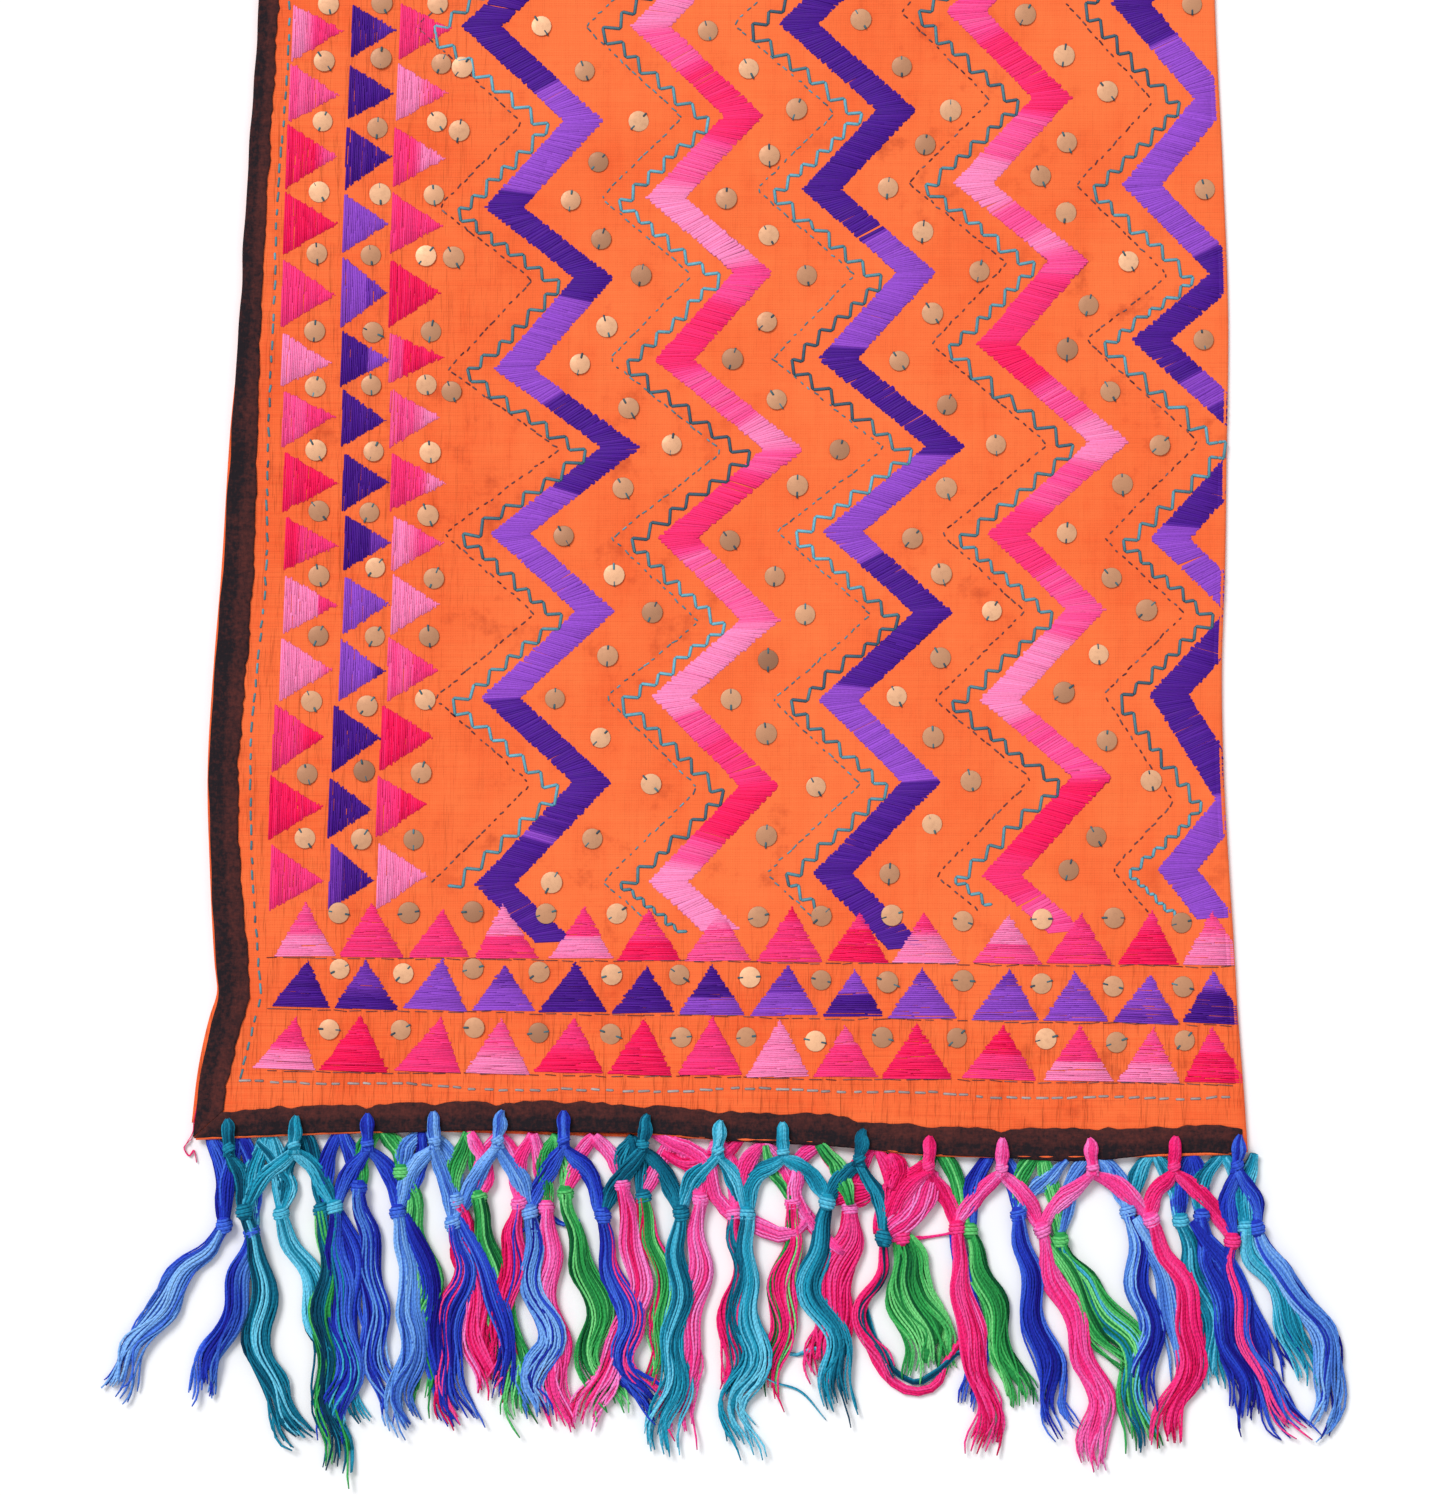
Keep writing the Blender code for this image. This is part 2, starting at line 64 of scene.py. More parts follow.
# The photo's size in pixels, a pixel's size on the cloth, and the pixel where the plan's zero lies
PHOTO_SIZE = (1445, 1496)
PHOTO_SCALE = 0.475
PHOTO_ZERO = (195.0, 1140.0)

# Plan sizes that the solids were made from
LENGTH = 2200.0
WALL = 1.0
LAYER_GAP = 0.6
BODY_WAVE = 0.6
SLOW_WAVES = ((61.0, 170.0), (-83.0, 97.0))
HEM_LIFT = 2.2
HEM_REACH = 60.0
PUCKER = 0.7
PUCKER_REACH = 45.0
FINE_PUCKER = 0.2
FINE_REACH = 75.0
UNEVEN = 0.12
UNDER_PEEK = 1.5
UNDER_HEM_OPEN = 8.0
UNDER_HEM_FOLD = -5.7
UNDER_FAR_INSET = 6.0
FAR_HEM_STRAY = 2.0
FAR_HEM_WAVES = 1.3
LOWEST_HEM = -7.1
LEFTMOST = -1.9


class Edges(NamedTuple):
    """Where the sides of the upper layer and its tape run, at one distance along the cloth."""

    along: float
    open_edge: float
    fold: float
    tape: float


EDGES = (
    Edges(0, -0.4, 500.2, 13.0),
    Edges(27, 2.7, 498.4, 13.3),
    Edges(54, 8.1, 496.2, 14.3),
    Edges(67, 11.6, 495.2, 14.4),
    Edges(80, 10.6, 494.5, 15.0),
    Edges(131, 8.1, 491.2, 13.5),
    Edges(171, 7.1, 489.0, 13.6),
    Edges(228, 10.2, 488.0, 14.7),
    Edges(268, 13.5, 489.4, 14.3),
    Edges(323, 16.9, 490.2, 12.6),
    Edges(390, 21.4, 491.0, 10.0),
    Edges(460, 25.4, 488.5, 9.6),
    Edges(541, 30.6, 484.6, 9.0),
    Edges(700, 30.0, 486.0, 12.0),
    Edges(1000, 22.0, 489.0, 13.0),
    Edges(1400, 16.0, 491.0, 13.0),
    Edges(1800, 13.0, 490.0, 13.0),
    Edges(2100, 9.0, 492.0, 13.0),
    Edges(2200, 5.0, 494.0, 13.0),
)


class HemPoint(NamedTuple):
    """How far the near hem strays from a straight line, at one place across it."""

    across: float
    stray: float


NEAR_HEM = (
    HemPoint(0, 1.2),
    HemPoint(79, 4.4),
    HemPoint(210, 4.3),
    HemPoint(245, 1.4),
    HemPoint(295, -0.5),
    HemPoint(344, -6.0),
    HemPoint(390, -7.3),
    HemPoint(500, -5.7),
)


# Colours and shades
def linear(red: float, green: float, blue: float) -> Colour:
    """A colour as a screen shows it, 0 to 255, as linear light."""
    shares = [channel / 255 for channel in (red, green, blue)]
    return tuple(s / 12.92 if s <= 0.04045 else ((s + 0.055) / 1.055) ** 2.4 for s in shares)


class Dye(Enum):
    """The dyes of floss and yarn, each as its light, middle and deep shade."""

    ROSE = (linear(255, 140, 192), linear(255, 66, 142), linear(252, 12, 88))
    PURPLE = (linear(154, 78, 206), linear(112, 46, 172), linear(70, 12, 138))
    PINK = (linear(255, 142, 214), linear(255, 82, 168), linear(252, 44, 132))
    CRIMSON = (linear(254, 76, 154), linear(252, 36, 122), linear(214, 12, 84))
    TEAL = (linear(112, 210, 240), linear(34, 162, 196), linear(8, 90, 120))
    DEEP_TEAL = (linear(36, 150, 182), linear(8, 104, 134), linear(4, 56, 84))
    GREEN = (linear(126, 226, 136), linear(54, 174, 86), linear(8, 82, 46))
    ROYAL = (linear(74, 120, 232), linear(38, 64, 200), linear(24, 20, 136))
    SKY = (linear(140, 192, 252), linear(92, 148, 232), linear(44, 78, 186))
    STITCH = (linear(116, 186, 206), linear(92, 140, 152), linear(72, 100, 116))
    GREY = (linear(196, 188, 184), linear(166, 156, 154), linear(132, 118, 116))
    DUSK = (linear(128, 116, 124), linear(104, 76, 80), linear(84, 38, 48))
    COPPER = (linear(248, 192, 148), linear(202, 146, 108), linear(154, 106, 78))


(ROSE, PURPLE, PINK, CRIMSON, TEAL, DEEP_TEAL, GREEN, ROYAL, SKY, STITCH, GREY, DUSK, COPPER) = Dye


def shade(dye: Dye, depth: Array) -> Array:
    """Shades of one dye.

    Each is a straight mix of its neighbours: light at depth 0, middle at 1, deep at 2.

    Args:
        dye: the dye.
        depth: any array of depths from 0 to 2.

    Returns:
        Linear colours, with one more axis than depth.
    """
    steps = np.array(dye.value)
    depth = np.clip(depth, 0.0, 2.0)
    return np.stack([np.interp(depth, [0.0, 1.0, 2.0], steps[:, channel]) for channel in range(3)], axis=-1)


# Curves and noise
def ease(share: Array) -> Array:
    """Smooth step: 3s^2 - 2s^3, with s kept between 0 and 1."""
    share = np.clip(share, 0.0, 1.0)
    return share * share * (3 - 2 * share)


def smooth_table(at: Array, knots: Sequence[float], values: Sequence[float]) -> Array:
    """A table read smoothly: a cubic Hermite curve through its rows, with slopes by central differences.

    Args:
        at: where to read it.
        knots: the rows' places, rising.
        values: the rows' values.

    Returns:
        An array of the shape of `at`.
    """
    knots, values = np.asarray(knots, float), np.asarray(values, float)
    slopes = np.gradient(values, knots)
    at = np.clip(at, knots[0], knots[-1])
    low = np.clip(np.searchsorted(knots, at, side="right") - 1, 0, len(knots) - 2)
    step = knots[low + 1] - knots[low]
    t = (at - knots[low]) / step
    start = (1 + 2 * t) * (1 - t) ** 2 * values[low] + t * (1 - t) ** 2 * step * slopes[low]
    return start + t * t * (3 - 2 * t) * values[low + 1] + t * t * (t - 1) * step * slopes[low + 1]


def read(rows: Sequence[tuple], at: Array, column: str) -> Array:
    """One column of a table, read smoothly against the table's first column."""
    return smooth_table(at, [row[0] for row in rows], [getattr(row, column) for row in rows])


def run_of(line: Array) -> Array:
    """How far along a line of plan points each of them is."""
    return np.concatenate([[0], np.cumsum(np.linalg.norm(np.diff(line, axis=0), axis=1))])


def sideways(heading: Array) -> Array:
    """Directions square to plan headings: (x, y) becomes (y, -x)."""
    return np.stack([heading[..., 1], -heading[..., 0]], -1)


def wander(at: Array, wavelength: float, draw: np.random.Generator, waves: int = 4) -> Array:
    """Slow seeded noise along a line: a sum of sines whose wavelengths spread round the given one.

    Args:
        at: places along the line.
        wavelength: the middle wavelength.
        draw: the seeded source.
        waves: how many sines.

    Returns:
        Noise of about unit size.
    """
    total = np.zeros_like(np.asarray(at, float))
    for _ in range(waves):
        length = wavelength * draw.uniform(0.6, 1.7)
        total = total + np.sin(2 * np.pi * at / length + draw.uniform(0, 2 * np.pi))
    return total / math.sqrt(waves)


def ripple(across: Array, along: Array, wavelength: float, seed: int, waves: int = 7) -> Array:
    """Seeded waves over the plan: a sum of sines that each run in their own direction.

    Args:
        across: places across the cloth.
        along: places along it.
        wavelength: the middle wavelength.
        seed: the seed of their directions and lengths.
        waves: how many sines.

    Returns:
        Waves of about unit size.
    """
    draw = np.random.default_rng(seed)
    total = np.zeros_like(np.asarray(across, float) + np.asarray(along, float))
    for _ in range(waves):
        heading, length = draw.uniform(0, np.pi), wavelength * draw.uniform(0.6, 1.8)
        run = (across * math.cos(heading) + along * math.sin(heading)) / length
        total = total + np.sin(2 * np.pi * run + draw.uniform(0, 2 * np.pi))
    return total / math.sqrt(waves)


# The form of the cloth
@dataclass(frozen=True)
class Crease:
    """One soft ridge in the upper layer, as a line on the plan with a height and a half width."""

    across: float
    along: float
    to_across: float
    to_along: float
    height: float
    half_width: float


CREASES = (
    Crease(213, 214, 203, 148, 0.6, 6.0),
    Crease(150, 340, 112, 302, 0.5, 6.5),
    Crease(434, 250, 425, 146, 0.6, 6.0),
    Crease(414, 432, 421, 356, 0.5, 5.5),
    Crease(140, 186, 104, 138, 0.5, 5.5),
    Crease(52, 246, 66, 222, 0.4, 5.0),
    Crease(262, 470, 246, 404, 0.5, 6.0),
    Crease(330, 262, 352, 182, 0.45, 6.0),
    Crease(60, 404, 118, 432, 0.4, 6.5),
    Crease(470, 352, 444, 300, 0.5, 5.5),
    Crease(300, 560, 330, 700, 0.6, 9.0),
    Crease(120, 820, 210, 900, 0.7, 11.0),
    Crease(400, 980, 380, 1130, 0.7, 11.0),
    Crease(180, 1260, 90, 1360, 0.7, 11.0),
    Crease(300, 1560, 360, 1700, 0.7, 11.0),
    Crease(140, 1840, 200, 1960, 0.6, 9.0),
    Crease(390, 2010, 330, 2080, 0.5, 7.0),
)


@dataclass(frozen=True)
class ClothForm:
    """The shape of the folded cloth, as functions of the plan that every other piece rests on."""

    roots: tuple[float, ...]
    creases: tuple[Crease, ...] = CREASES

    def edge(self, along: Array, name: str) -> Array:
        """One column of EDGES at these distances along the cloth."""
        return read(EDGES, along, name)

    def inside_tape(self, along: Array) -> Array:
        """Where the open edge's tape ends, across the cloth."""
        return self.edge(along, "open_edge") + self.edge(along, "tape")

    def near_hem(self, across: Array) -> Array:
        """How far the near hem strays, across the cloth."""
        return read(NEAR_HEM, across, "stray")

    def far_hem(self, across: Array) -> Array:
        """How far the far hem strays: one slow sine wave."""
        return FAR_HEM_STRAY * np.sin(FAR_HEM_WAVES * 2 * np.pi * across / EDGES[-1].fold)

    def under_near_hem(self, across: Array) -> Array:
        """The under layer's near hem: a straight line from the open edge to the fold."""
        return UNDER_HEM_OPEN + (UNDER_HEM_FOLD - UNDER_HEM_OPEN) * across / EDGES[0].fold

    def under_far_hem(self, across: Array) -> Array:
        """The under layer's far hem: a straight line that meets the upper one at the fold."""
        share = across / EDGES[-1].fold
        return -UNDER_FAR_INSET * (1 - share) + self.far_hem(np.array(EDGES[-1].fold)) * share

    def strayed(self, along: Array, near: Array, far: Array) -> Array:
        """A place along the cloth once its hems stray.

        Args:
            along: where it was.
            near: how far the near hem strays there. It fades out over two reaches.
            far: how far the far hem strays.

        Returns:
            Where it ends up.
        """
        near_share = 1 - ease(along / (2 * HEM_REACH))
        far_share = 1 - ease((LENGTH - along) / (2 * HEM_REACH))
        return along + near * near_share + far * far_share

    def upper_line(self, across: Array, along: Array) -> Array:
        """A place along the upper layer once its own hems stray."""
        return self.strayed(along, self.near_hem(across), self.far_hem(across))

    def ridges(self, across: Array) -> Array:
        """Where the hem puckers: 0 at each root of the fringe and 1 between two, as a squared sine."""
        phase = np.interp(across, self.roots, np.arange(len(self.roots)))
        return np.sin(np.pi * phase) ** 2

    def flat_height(self, across: Array, along: Array) -> Array:
        """Height of the upper face away from the fold.

        Both walls and the gap, slow waves, the lift over the fringe near a hem, puckers between the
        fringe's roots, finer seeded puckers that fade out from the hem, and the creases, each a ridge with
        a bell profile.

        Args:
            across: places across the cloth.
            along: places along it.

        Returns:
            Heights from the floor.
        """
        from_hem = np.clip(np.minimum(along, LENGTH - along), 0, None)
        lift = 1 - ease(from_hem / HEM_REACH)
        slow = sum(np.sin(across / aside + along / ahead) for aside, ahead in SLOW_WAVES)
        fade = np.sin(np.pi * np.clip(from_hem / PUCKER_REACH, 0, 1))
        fine = ripple(across, along * 0.22, 11.0, 3) * (1 - ease(from_hem / FINE_REACH))
        height = 2 * WALL + LAYER_GAP + BODY_WAVE * (1 + 0.5 * slow) * (1 - lift) + HEM_LIFT * lift
        height = height + PUCKER * self.ridges(across) * fade + FINE_PUCKER * fine
        height = height + UNEVEN * ripple(across, along, 55.0, 4)
        return height + sum(self.crease_height(crease, across, along) for crease in self.creases)

    def crease_height(self, crease: Crease, across: Array, along: Array) -> Array:
        """A bell-shaped ridge along a line: exp(-(d / half width)^2), faded at both ends of the line.

        Args:
            crease: the line and the ridge's size.
            across: places across the cloth.
            along: places along it.

        Returns:
            How much it adds to the height there.
        """
        run = np.array([crease.to_across - crease.across, crease.to_along - crease.along])
        length = float(np.hypot(*run))
        run = run / length
        forward = (across - crease.across) * run[0] + (along - crease.along) * run[1]
        aside = (across - crease.across) * run[1] - (along - crease.along) * run[0]
        share = np.clip(forward / length, 0, 1)
        return crease.height * np.exp(-((aside / crease.half_width) ** 2)) * np.sin(np.pi * share) ** 0.7

    def height(self, across: Array, along: Array) -> Array:
        """Height of the upper face, which turns down as a half circle within its own radius of the fold."""
        flat = self.flat_height(across, along)
        radius = flat / 2
        past = np.clip(across - (self.edge(along, "fold") - radius), 0, radius)
        return radius + np.sqrt(np.clip(radius**2 - past**2, 0, None))

    def upper(self, across: Array, along: Array, above: float = 0.0) -> Array:
        """Points on the upper face, or a little above it.

        Args:
            across: places across the cloth.
            along: places along it, before its hems stray.
            above: how far over the face they are.

        Returns:
            Points, with a last axis of three.
        """
        across, along = np.broadcast_arrays(across, along)
        return np.stack([across, self.upper_line(across, along), self.height(across, along) + above], axis=-1)


# Mesh making
def plan_shift() -> Array:
    """The place of the plan's zero in the frame, in metres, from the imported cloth."""
    low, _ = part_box("cloth")
    return np.array([low[0] - LEFTMOST * MM, low[1] - LOWEST_HEM * MM, 0.0])


SHIFT = plan_shift()


@dataclass(frozen=True)
class Part:
    """Points in millimetres on the plan and faces as arrays of point numbers.

    Each point may carry a colour and, on a yarn, its grain: how far along the yarn it is, and the cosine
    and sine of its angle round it.
    """

    points: Array
    faces: tuple[Array, ...]
    tint: Optional[Array] = None
    grain: Optional[Array] = None

    def closed_volume(self) -> float:
        """Signed volume of the body: a sixth of the sum of triple products over a fan of each face."""
        total = 0.0
        for block in self.faces:
            corner = self.points[block]
            for i in range(1, block.shape[1] - 1):
                total += np.einsum("ij,ij->", corner[:, 0], np.cross(corner[:, i], corner[:, i + 1]))
        return total / 6


def joined(parts: Sequence[Part]) -> Part:
    """Several parts as one, with the point numbers of each moved past those before it.

    Args:
        parts: the parts, which all carry colours and grain or all don't.

    Returns:
        One part.
    """
    offsets = np.cumsum([0] + [len(part.points) for part in parts[:-1]])
    moved = [block + offset for part, offset in zip(parts, offsets) for block in part.faces]
    widths = sorted({block.shape[1] for block in moved})
    faces = tuple(np.concatenate([block for block in moved if block.shape[1] == width]) for width in widths)
    carried = []
    for name in ("tint", "grain"):
        rows = [getattr(part, name) for part in parts]
        carried.append(None if any(row is None for row in rows) else np.concatenate(rows))
    return Part(np.concatenate([part.points for part in parts]), faces, *carried)


def carry(mesh: bpy.types.Mesh, name: str, kind: str, key: str, values: Array) -> None:
    """Writes one value for each point of a mesh as a named attribute."""
    mesh.attributes.new(name, kind, "POINT").data.foreach_set(key, values.astype(np.float32).ravel())


def make_piece(name: str, part: Part, material: bpy.types.Material) -> bpy.types.Object:
    """Puts a part into the scene as a mesh that rides on the root body.

    Args:
        name: the piece's name.
        part: its points, faces and colours.
        material: its finish.

    Returns:
        The new object, at the origin.
    """
    faces = part.faces
    if part.closed_volume() < 0:
        faces = tuple(block[:, ::-1] for block in faces)
    mesh = bpy.data.meshes.new(name)
    mesh.vertices.add(len(part.points))
    mesh.vertices.foreach_set("co", (part.points * MM + SHIFT).astype(np.float32).ravel())
    corners = np.concatenate([block.ravel() for block in faces])
    sizes = np.concatenate([np.full(len(block), block.shape[1]) for block in faces])
    mesh.loops.add(len(corners))
    mesh.loops.foreach_set("vertex_index", corners.astype(np.int32))
    mesh.polygons.add(len(sizes))
    mesh.polygons.foreach_set("loop_start", (np.cumsum(sizes) - sizes).astype(np.int32))
    mesh.update(calc_edges=True)
    mesh.shade_smooth()
    carry(mesh, "tint", "FLOAT_COLOR", "color", np.column_stack([part.tint, np.ones(len(part.tint))]))
    if part.grain is not None:
        carry(mesh, "grain", "FLOAT_VECTOR", "vector", part.grain)
    mesh.materials.append(material)
    piece = bpy.data.objects.new(name, mesh)
    bpy.context.scene.collection.objects.link(piece)
    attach(piece, "root")
    LOG.info("%s: %d triangles", name, int((sizes - 2).sum()))
    return piece


def grid_faces(rows: int, columns: int, wrap: bool) -> Array:
    """Quads of a grid of points numbered row by row.

    Args:
        rows: rows of points.
        columns: points in a row.
        wrap: whether each row is a closed ring.

    Returns:
        Quads by four point numbers.
    """
    last = columns if wrap else columns - 1
    r, c = np.meshgrid(np.arange(rows - 1) * columns, np.arange(last), indexing="ij")
    after = (c + 1) % columns
    return np.stack([r + c, r + after, r + columns + after, r + columns + c], -1).reshape(-1, 4)


def swept_wall(outer: Array, inner: Array) -> Part:
    """A closed wall between two sheets of points.

    Each row becomes a ring, the outer points and then the inner ones backwards, and both ends are closed by
    quads between the two sheets.

    Args:
        outer: the outer sheet, rows by columns by three.
        inner: the inner sheet, the same size.

    Returns:
        The wall as one part.
    """
    rows, columns = outer.shape[:2]
    rings = np.concatenate([outer, inner[:, ::-1]], axis=1)
    sides = grid_faces(rows, 2 * columns, wrap=True)
    i = np.arange(columns - 1)
    front = np.stack([i, 2 * columns - 1 - i, 2 * columns - 2 - i, i + 1], -1)
    back = front[:, ::-1] + (rows - 1) * 2 * columns
    return Part(rings.reshape(-1, 3), (np.concatenate([sides, front, back]),))


def spindles(
    start: Array, end: Array, width: Array, rise: Array, tint: Array, tips: float, shoulder: float
) -> Part:
    """Stitches: each a low ridge of thread with a three-sided section and pointed ends.

    A stitch has a point at each end and a section at each shoulder, a set distance in from the ends. The
    section has two feet, half the width to each side, and a crown above them.

    Args:
        start: where each stitch comes up, an array of points.
        end: where each goes down.
        width: the thread's width.
        rise: the height of its crown.
        tint: one colour for each stitch.
        tips: the share of its colour left at its ends, painted shade where the thread dips into the cloth.
        shoulder: how far in from its ends the thread has its full size, in millimetres.

    Returns:
        All of them as one part.
    """
    count = len(start)
    run = end - start
    length = np.hypot(run[:, 0], run[:, 1])[:, None] + 1e-9
    side = np.column_stack([-run[:, 1], run[:, 0]]) / length * (np.broadcast_to(width, count)[:, None] / 2)
    side = np.column_stack([side, np.zeros(count)])
    up = np.column_stack([np.zeros((count, 2)), np.broadcast_to(rise, count)])
    taper = run * np.minimum(shoulder / length, 0.3)
    first, second = start + taper, end - taper
    sections = [taken + foot for taken in (first, second) for foot in (side, -side, up)]
    points = np.stack([start, *sections, end], axis=1)
    first_tip = [[0, 1, 3], [0, 3, 2], [0, 2, 1]]
    sides = [[1, 4, 6], [1, 6, 3], [3, 6, 5], [3, 5, 2], [2, 5, 4], [2, 4, 1]]
    last_tip = [[7, 6, 4], [7, 5, 6], [7, 4, 5]]
    pattern = np.array(first_tip + sides + last_tip)
    faces = (pattern[None] + 8 * np.arange(count)[:, None, None]).reshape(-1, 3)
    colours = np.repeat(tint[:, None], 8, axis=1)
    # Painted shade: the two end points are darkened where the thread goes down into the cloth
    colours[:, [0, 7]] *= tips
    return Part(points.reshape(-1, 3), (faces,), colours.reshape(-1, 3))


def tubes(paths: Array, radius: Array, tint: Array, sides: int = 4, squash: object = 1.0) -> Part:
    """Yarns as closed tubes.

    A ring's points are the path's point plus the radius times cos(a) sideways and sin(a) times the squash
    upwards, square to the path. Sideways is level, and both ends are capped by one face.

    Args:
        paths: yarns by points by three.
        radius: yarns by points.
        tint: yarns by points by three.
        sides: sides of a ring.
        squash: a ring's height over its width, one number or yarns by points.

    Returns:
        All yarns as one part.
    """
    count, steps = paths.shape[:2]
    ahead = np.gradient(paths, axis=1)
    ahead /= np.linalg.norm(ahead, axis=-1, keepdims=True) + 1e-9
    side = np.stack([ahead[..., 1], -ahead[..., 0], np.zeros_like(ahead[..., 0])], -1)
    side /= np.linalg.norm(side, axis=-1, keepdims=True) + 1e-9
    up = np.cross(side, ahead)
    angle = 2 * np.pi * (np.arange(sides) + 0.5) / sides
    up = up * np.broadcast_to(squash, radius.shape)[..., None]
    spread = side[..., None, :] * np.cos(angle)[:, None] + up[..., None, :] * np.sin(angle)[:, None]
    rings = paths[..., None, :] + radius[..., None, None] * spread
    one = grid_faces(steps, sides, wrap=True)
    faces = (one[None] + (np.arange(count) * steps * sides)[:, None, None]).reshape(-1, 4)
    cap = np.arange(sides)
    bases = (np.arange(count) * steps * sides)[:, None]
    caps = np.concatenate([bases + cap[::-1], bases + (steps - 1) * sides + cap])
    blocks = (np.concatenate([faces, caps]),) if sides == 4 else (faces, caps)
    run = np.cumsum(np.linalg.norm(np.diff(paths, axis=1, prepend=paths[:, :1]), axis=-1), axis=1)
    run = run + 40 * np.sin(12.9 * np.arange(count))[:, None]
    grain = np.stack(np.broadcast_arrays(run[..., None], np.cos(angle), np.sin(angle)), -1)
    colours = np.repeat(tint[..., None, :], sides, axis=-2)
    return Part(rings.reshape(-1, 3), blocks, colours.reshape(-1, 3), grain.reshape(-1, 3))


# Finishes
BUMP_DEPTH = 0.0004


@dataclass
class Socket:
    """A shader value that can be used in Python expressions; each operator adds one Math node."""

    graph: "Graph"
    link: bpy.types.NodeSocket

    def math(self, operation: str, first: object, second: object) -> "Socket":
        """The result of one Math node."""
        return self.graph.node("ShaderNodeMath", {"operation": operation}, {0: first, 1: second})

    def __add__(self, other: object) -> "Socket":
        """self + other."""
        return self.math("ADD", self, other)

    def __radd__(self, other: object) -> "Socket":
        """other + self."""
        return self.math("ADD", other, self)

    def __sub__(self, other: object) -> "Socket":
        """self - other."""
        return self.math("SUBTRACT", self, other)

    def __rsub__(self, other: object) -> "Socket":
        """other - self."""
        return self.math("SUBTRACT", other, self)

    def __mul__(self, other: object) -> "Socket":
        """self * other."""
        return self.math("MULTIPLY", self, other)

    def __rmul__(self, other: object) -> "Socket":
        """other * self."""
        return self.math("MULTIPLY", other, self)


class Graph:
    """The node tree of one finish, with its Principled BSDF."""

    def __init__(self, name: str, **constants: object) -> None:
        """Makes a material.

        Args:
            name: the material's name.
            constants: shader sockets that are the same all over, with underscores for spaces.
        """
        self.material = bpy.data.materials.new(name)
        self.material.use_nodes = True
        self.tree = self.material.node_tree
        self.shader = self.tree.nodes["Principled BSDF"]
        for socket, value in constants.items():
            self.shader.inputs[socket.replace("_", " ")].default_value = value

    def node(
        self, kind: str, settings: Optional[dict] = None, inputs: Optional[dict] = None, output: object = 0
    ) -> Socket:
        """Adds one node.

        Args:
            kind: the node's type.
            settings: its properties.
            inputs: values or Sockets by input name or number.
            output: the name or number of the output to return.

        Returns:
            That output.
        """
        node = self.tree.nodes.new(kind)
        for name, value in (settings or {}).items():
            setattr(node, name, value)
        for name, value in (inputs or {}).items():
            if isinstance(value, Socket):
                self.tree.links.new(value.link, node.inputs[name])
            else:
                node.inputs[name].default_value = value
        return Socket(self, node.outputs[output])

    def place(self, scale: tuple[float, float, float] = (1, 1, 1), turn: float = 0.0) -> Socket:
        """Object coordinates, stretched and turned about the vertical."""
        base = self.node("ShaderNodeTexCoord", output="Object")
        return self.node("ShaderNodeMapping", {}, {"Vector": base, "Rotation": (0, 0, turn), "Scale": scale})

    def noise(self, vector: Socket, scale: float, detail: float = 2.0, roughness: float = 0.5) -> Socket:
        """Noise from 0 to 1."""
        inputs = {"Vector": vector, "Scale": scale, "Detail": detail, "Roughness": roughness}
        return self.node("ShaderNodeTexNoise", {}, inputs)

    def streaks(self, across: float, along: float, detail: float = 3.0, roughness: float = 0.6) -> Socket:
        """Noise with so many grains a metre each way, which makes threads where the two differ much."""
        return self.noise(self.place((across, along, 1.0)), 1.0, detail, roughness)

    def mapped(
        self, value: Socket, low: float, high: float, to_low: float = 0.0, to_high: float = 1.0
    ) -> Socket:
        """A value's range stretched to another, and clamped there."""
        return self.node(
            "ShaderNodeMapRange", {"clamp": True},
            {"Value": value, "From Min": low, "From Max": high, "To Min": to_low, "To Max": to_high},
        )

    def mix(self, factor: object, first: object, second: object, blend: str = "MIX") -> Socket:
        """Two colours mixed by a factor.

        Args:
            factor: the share of the second, or how far it is applied.
            first: a colour or a Socket.
            second: another.
            blend: how they are mixed.

        Returns:
            The mixed colour.
        """
        colours = [given if isinstance(given, Socket) else (*given, 1.0) for given in (first, second)]
        settings = {"data_type": "RGBA", "blend_type": blend}
        return self.node("ShaderNodeMix", settings, {0: factor, 6: colours[0], 7: colours[1]}, 2)

    def tint(self) -> Socket:
        """The colour that each point of the piece carries."""
        return self.node("ShaderNodeAttribute", {"attribute_name": "tint"}, output="Color")

    def share(self) -> Socket:
        """One number that each point of the piece carries in its colour."""
        return self.node("ShaderNodeSeparateColor", {}, {"Color": self.tint()}, "Red")

    def grain(self, axis: str) -> Socket:
        """One number of the grain that each point of a yarn carries."""
        grain = self.node("ShaderNodeAttribute", {"attribute_name": "grain"}, output="Vector")
        return self.node("ShaderNodeSeparateXYZ", {}, {"Vector": grain}, axis)

    def finish(
        self,
        colour: Socket,
        roughness: Optional[Socket] = None,
        bump: Optional[Socket] = None,
        strength: float = 0.5,
        depth: float = BUMP_DEPTH,
    ) -> bpy.types.Material:
        """Links what changes over the surface to the shader.

        Args:
            colour: its colour.
            roughness: its roughness, where that changes.
            bump: its fine height, where it has one.
            strength: how strongly the bump tells.
            depth: the height of one unit of it, in metres.

        Returns:
            The material.
        """
        linked = {"Base Color": colour, "Roughness": roughness}
        if bump is not None:
            inputs = {"Height": bump, "Strength": strength, "Distance": depth}
            linked["Normal"] = self.node("ShaderNodeBump", {}, inputs, "Normal")
        for name, value in linked.items():
            if value is not None:
                self.tree.links.new(value.link, self.shader.inputs[name])
        return self.material


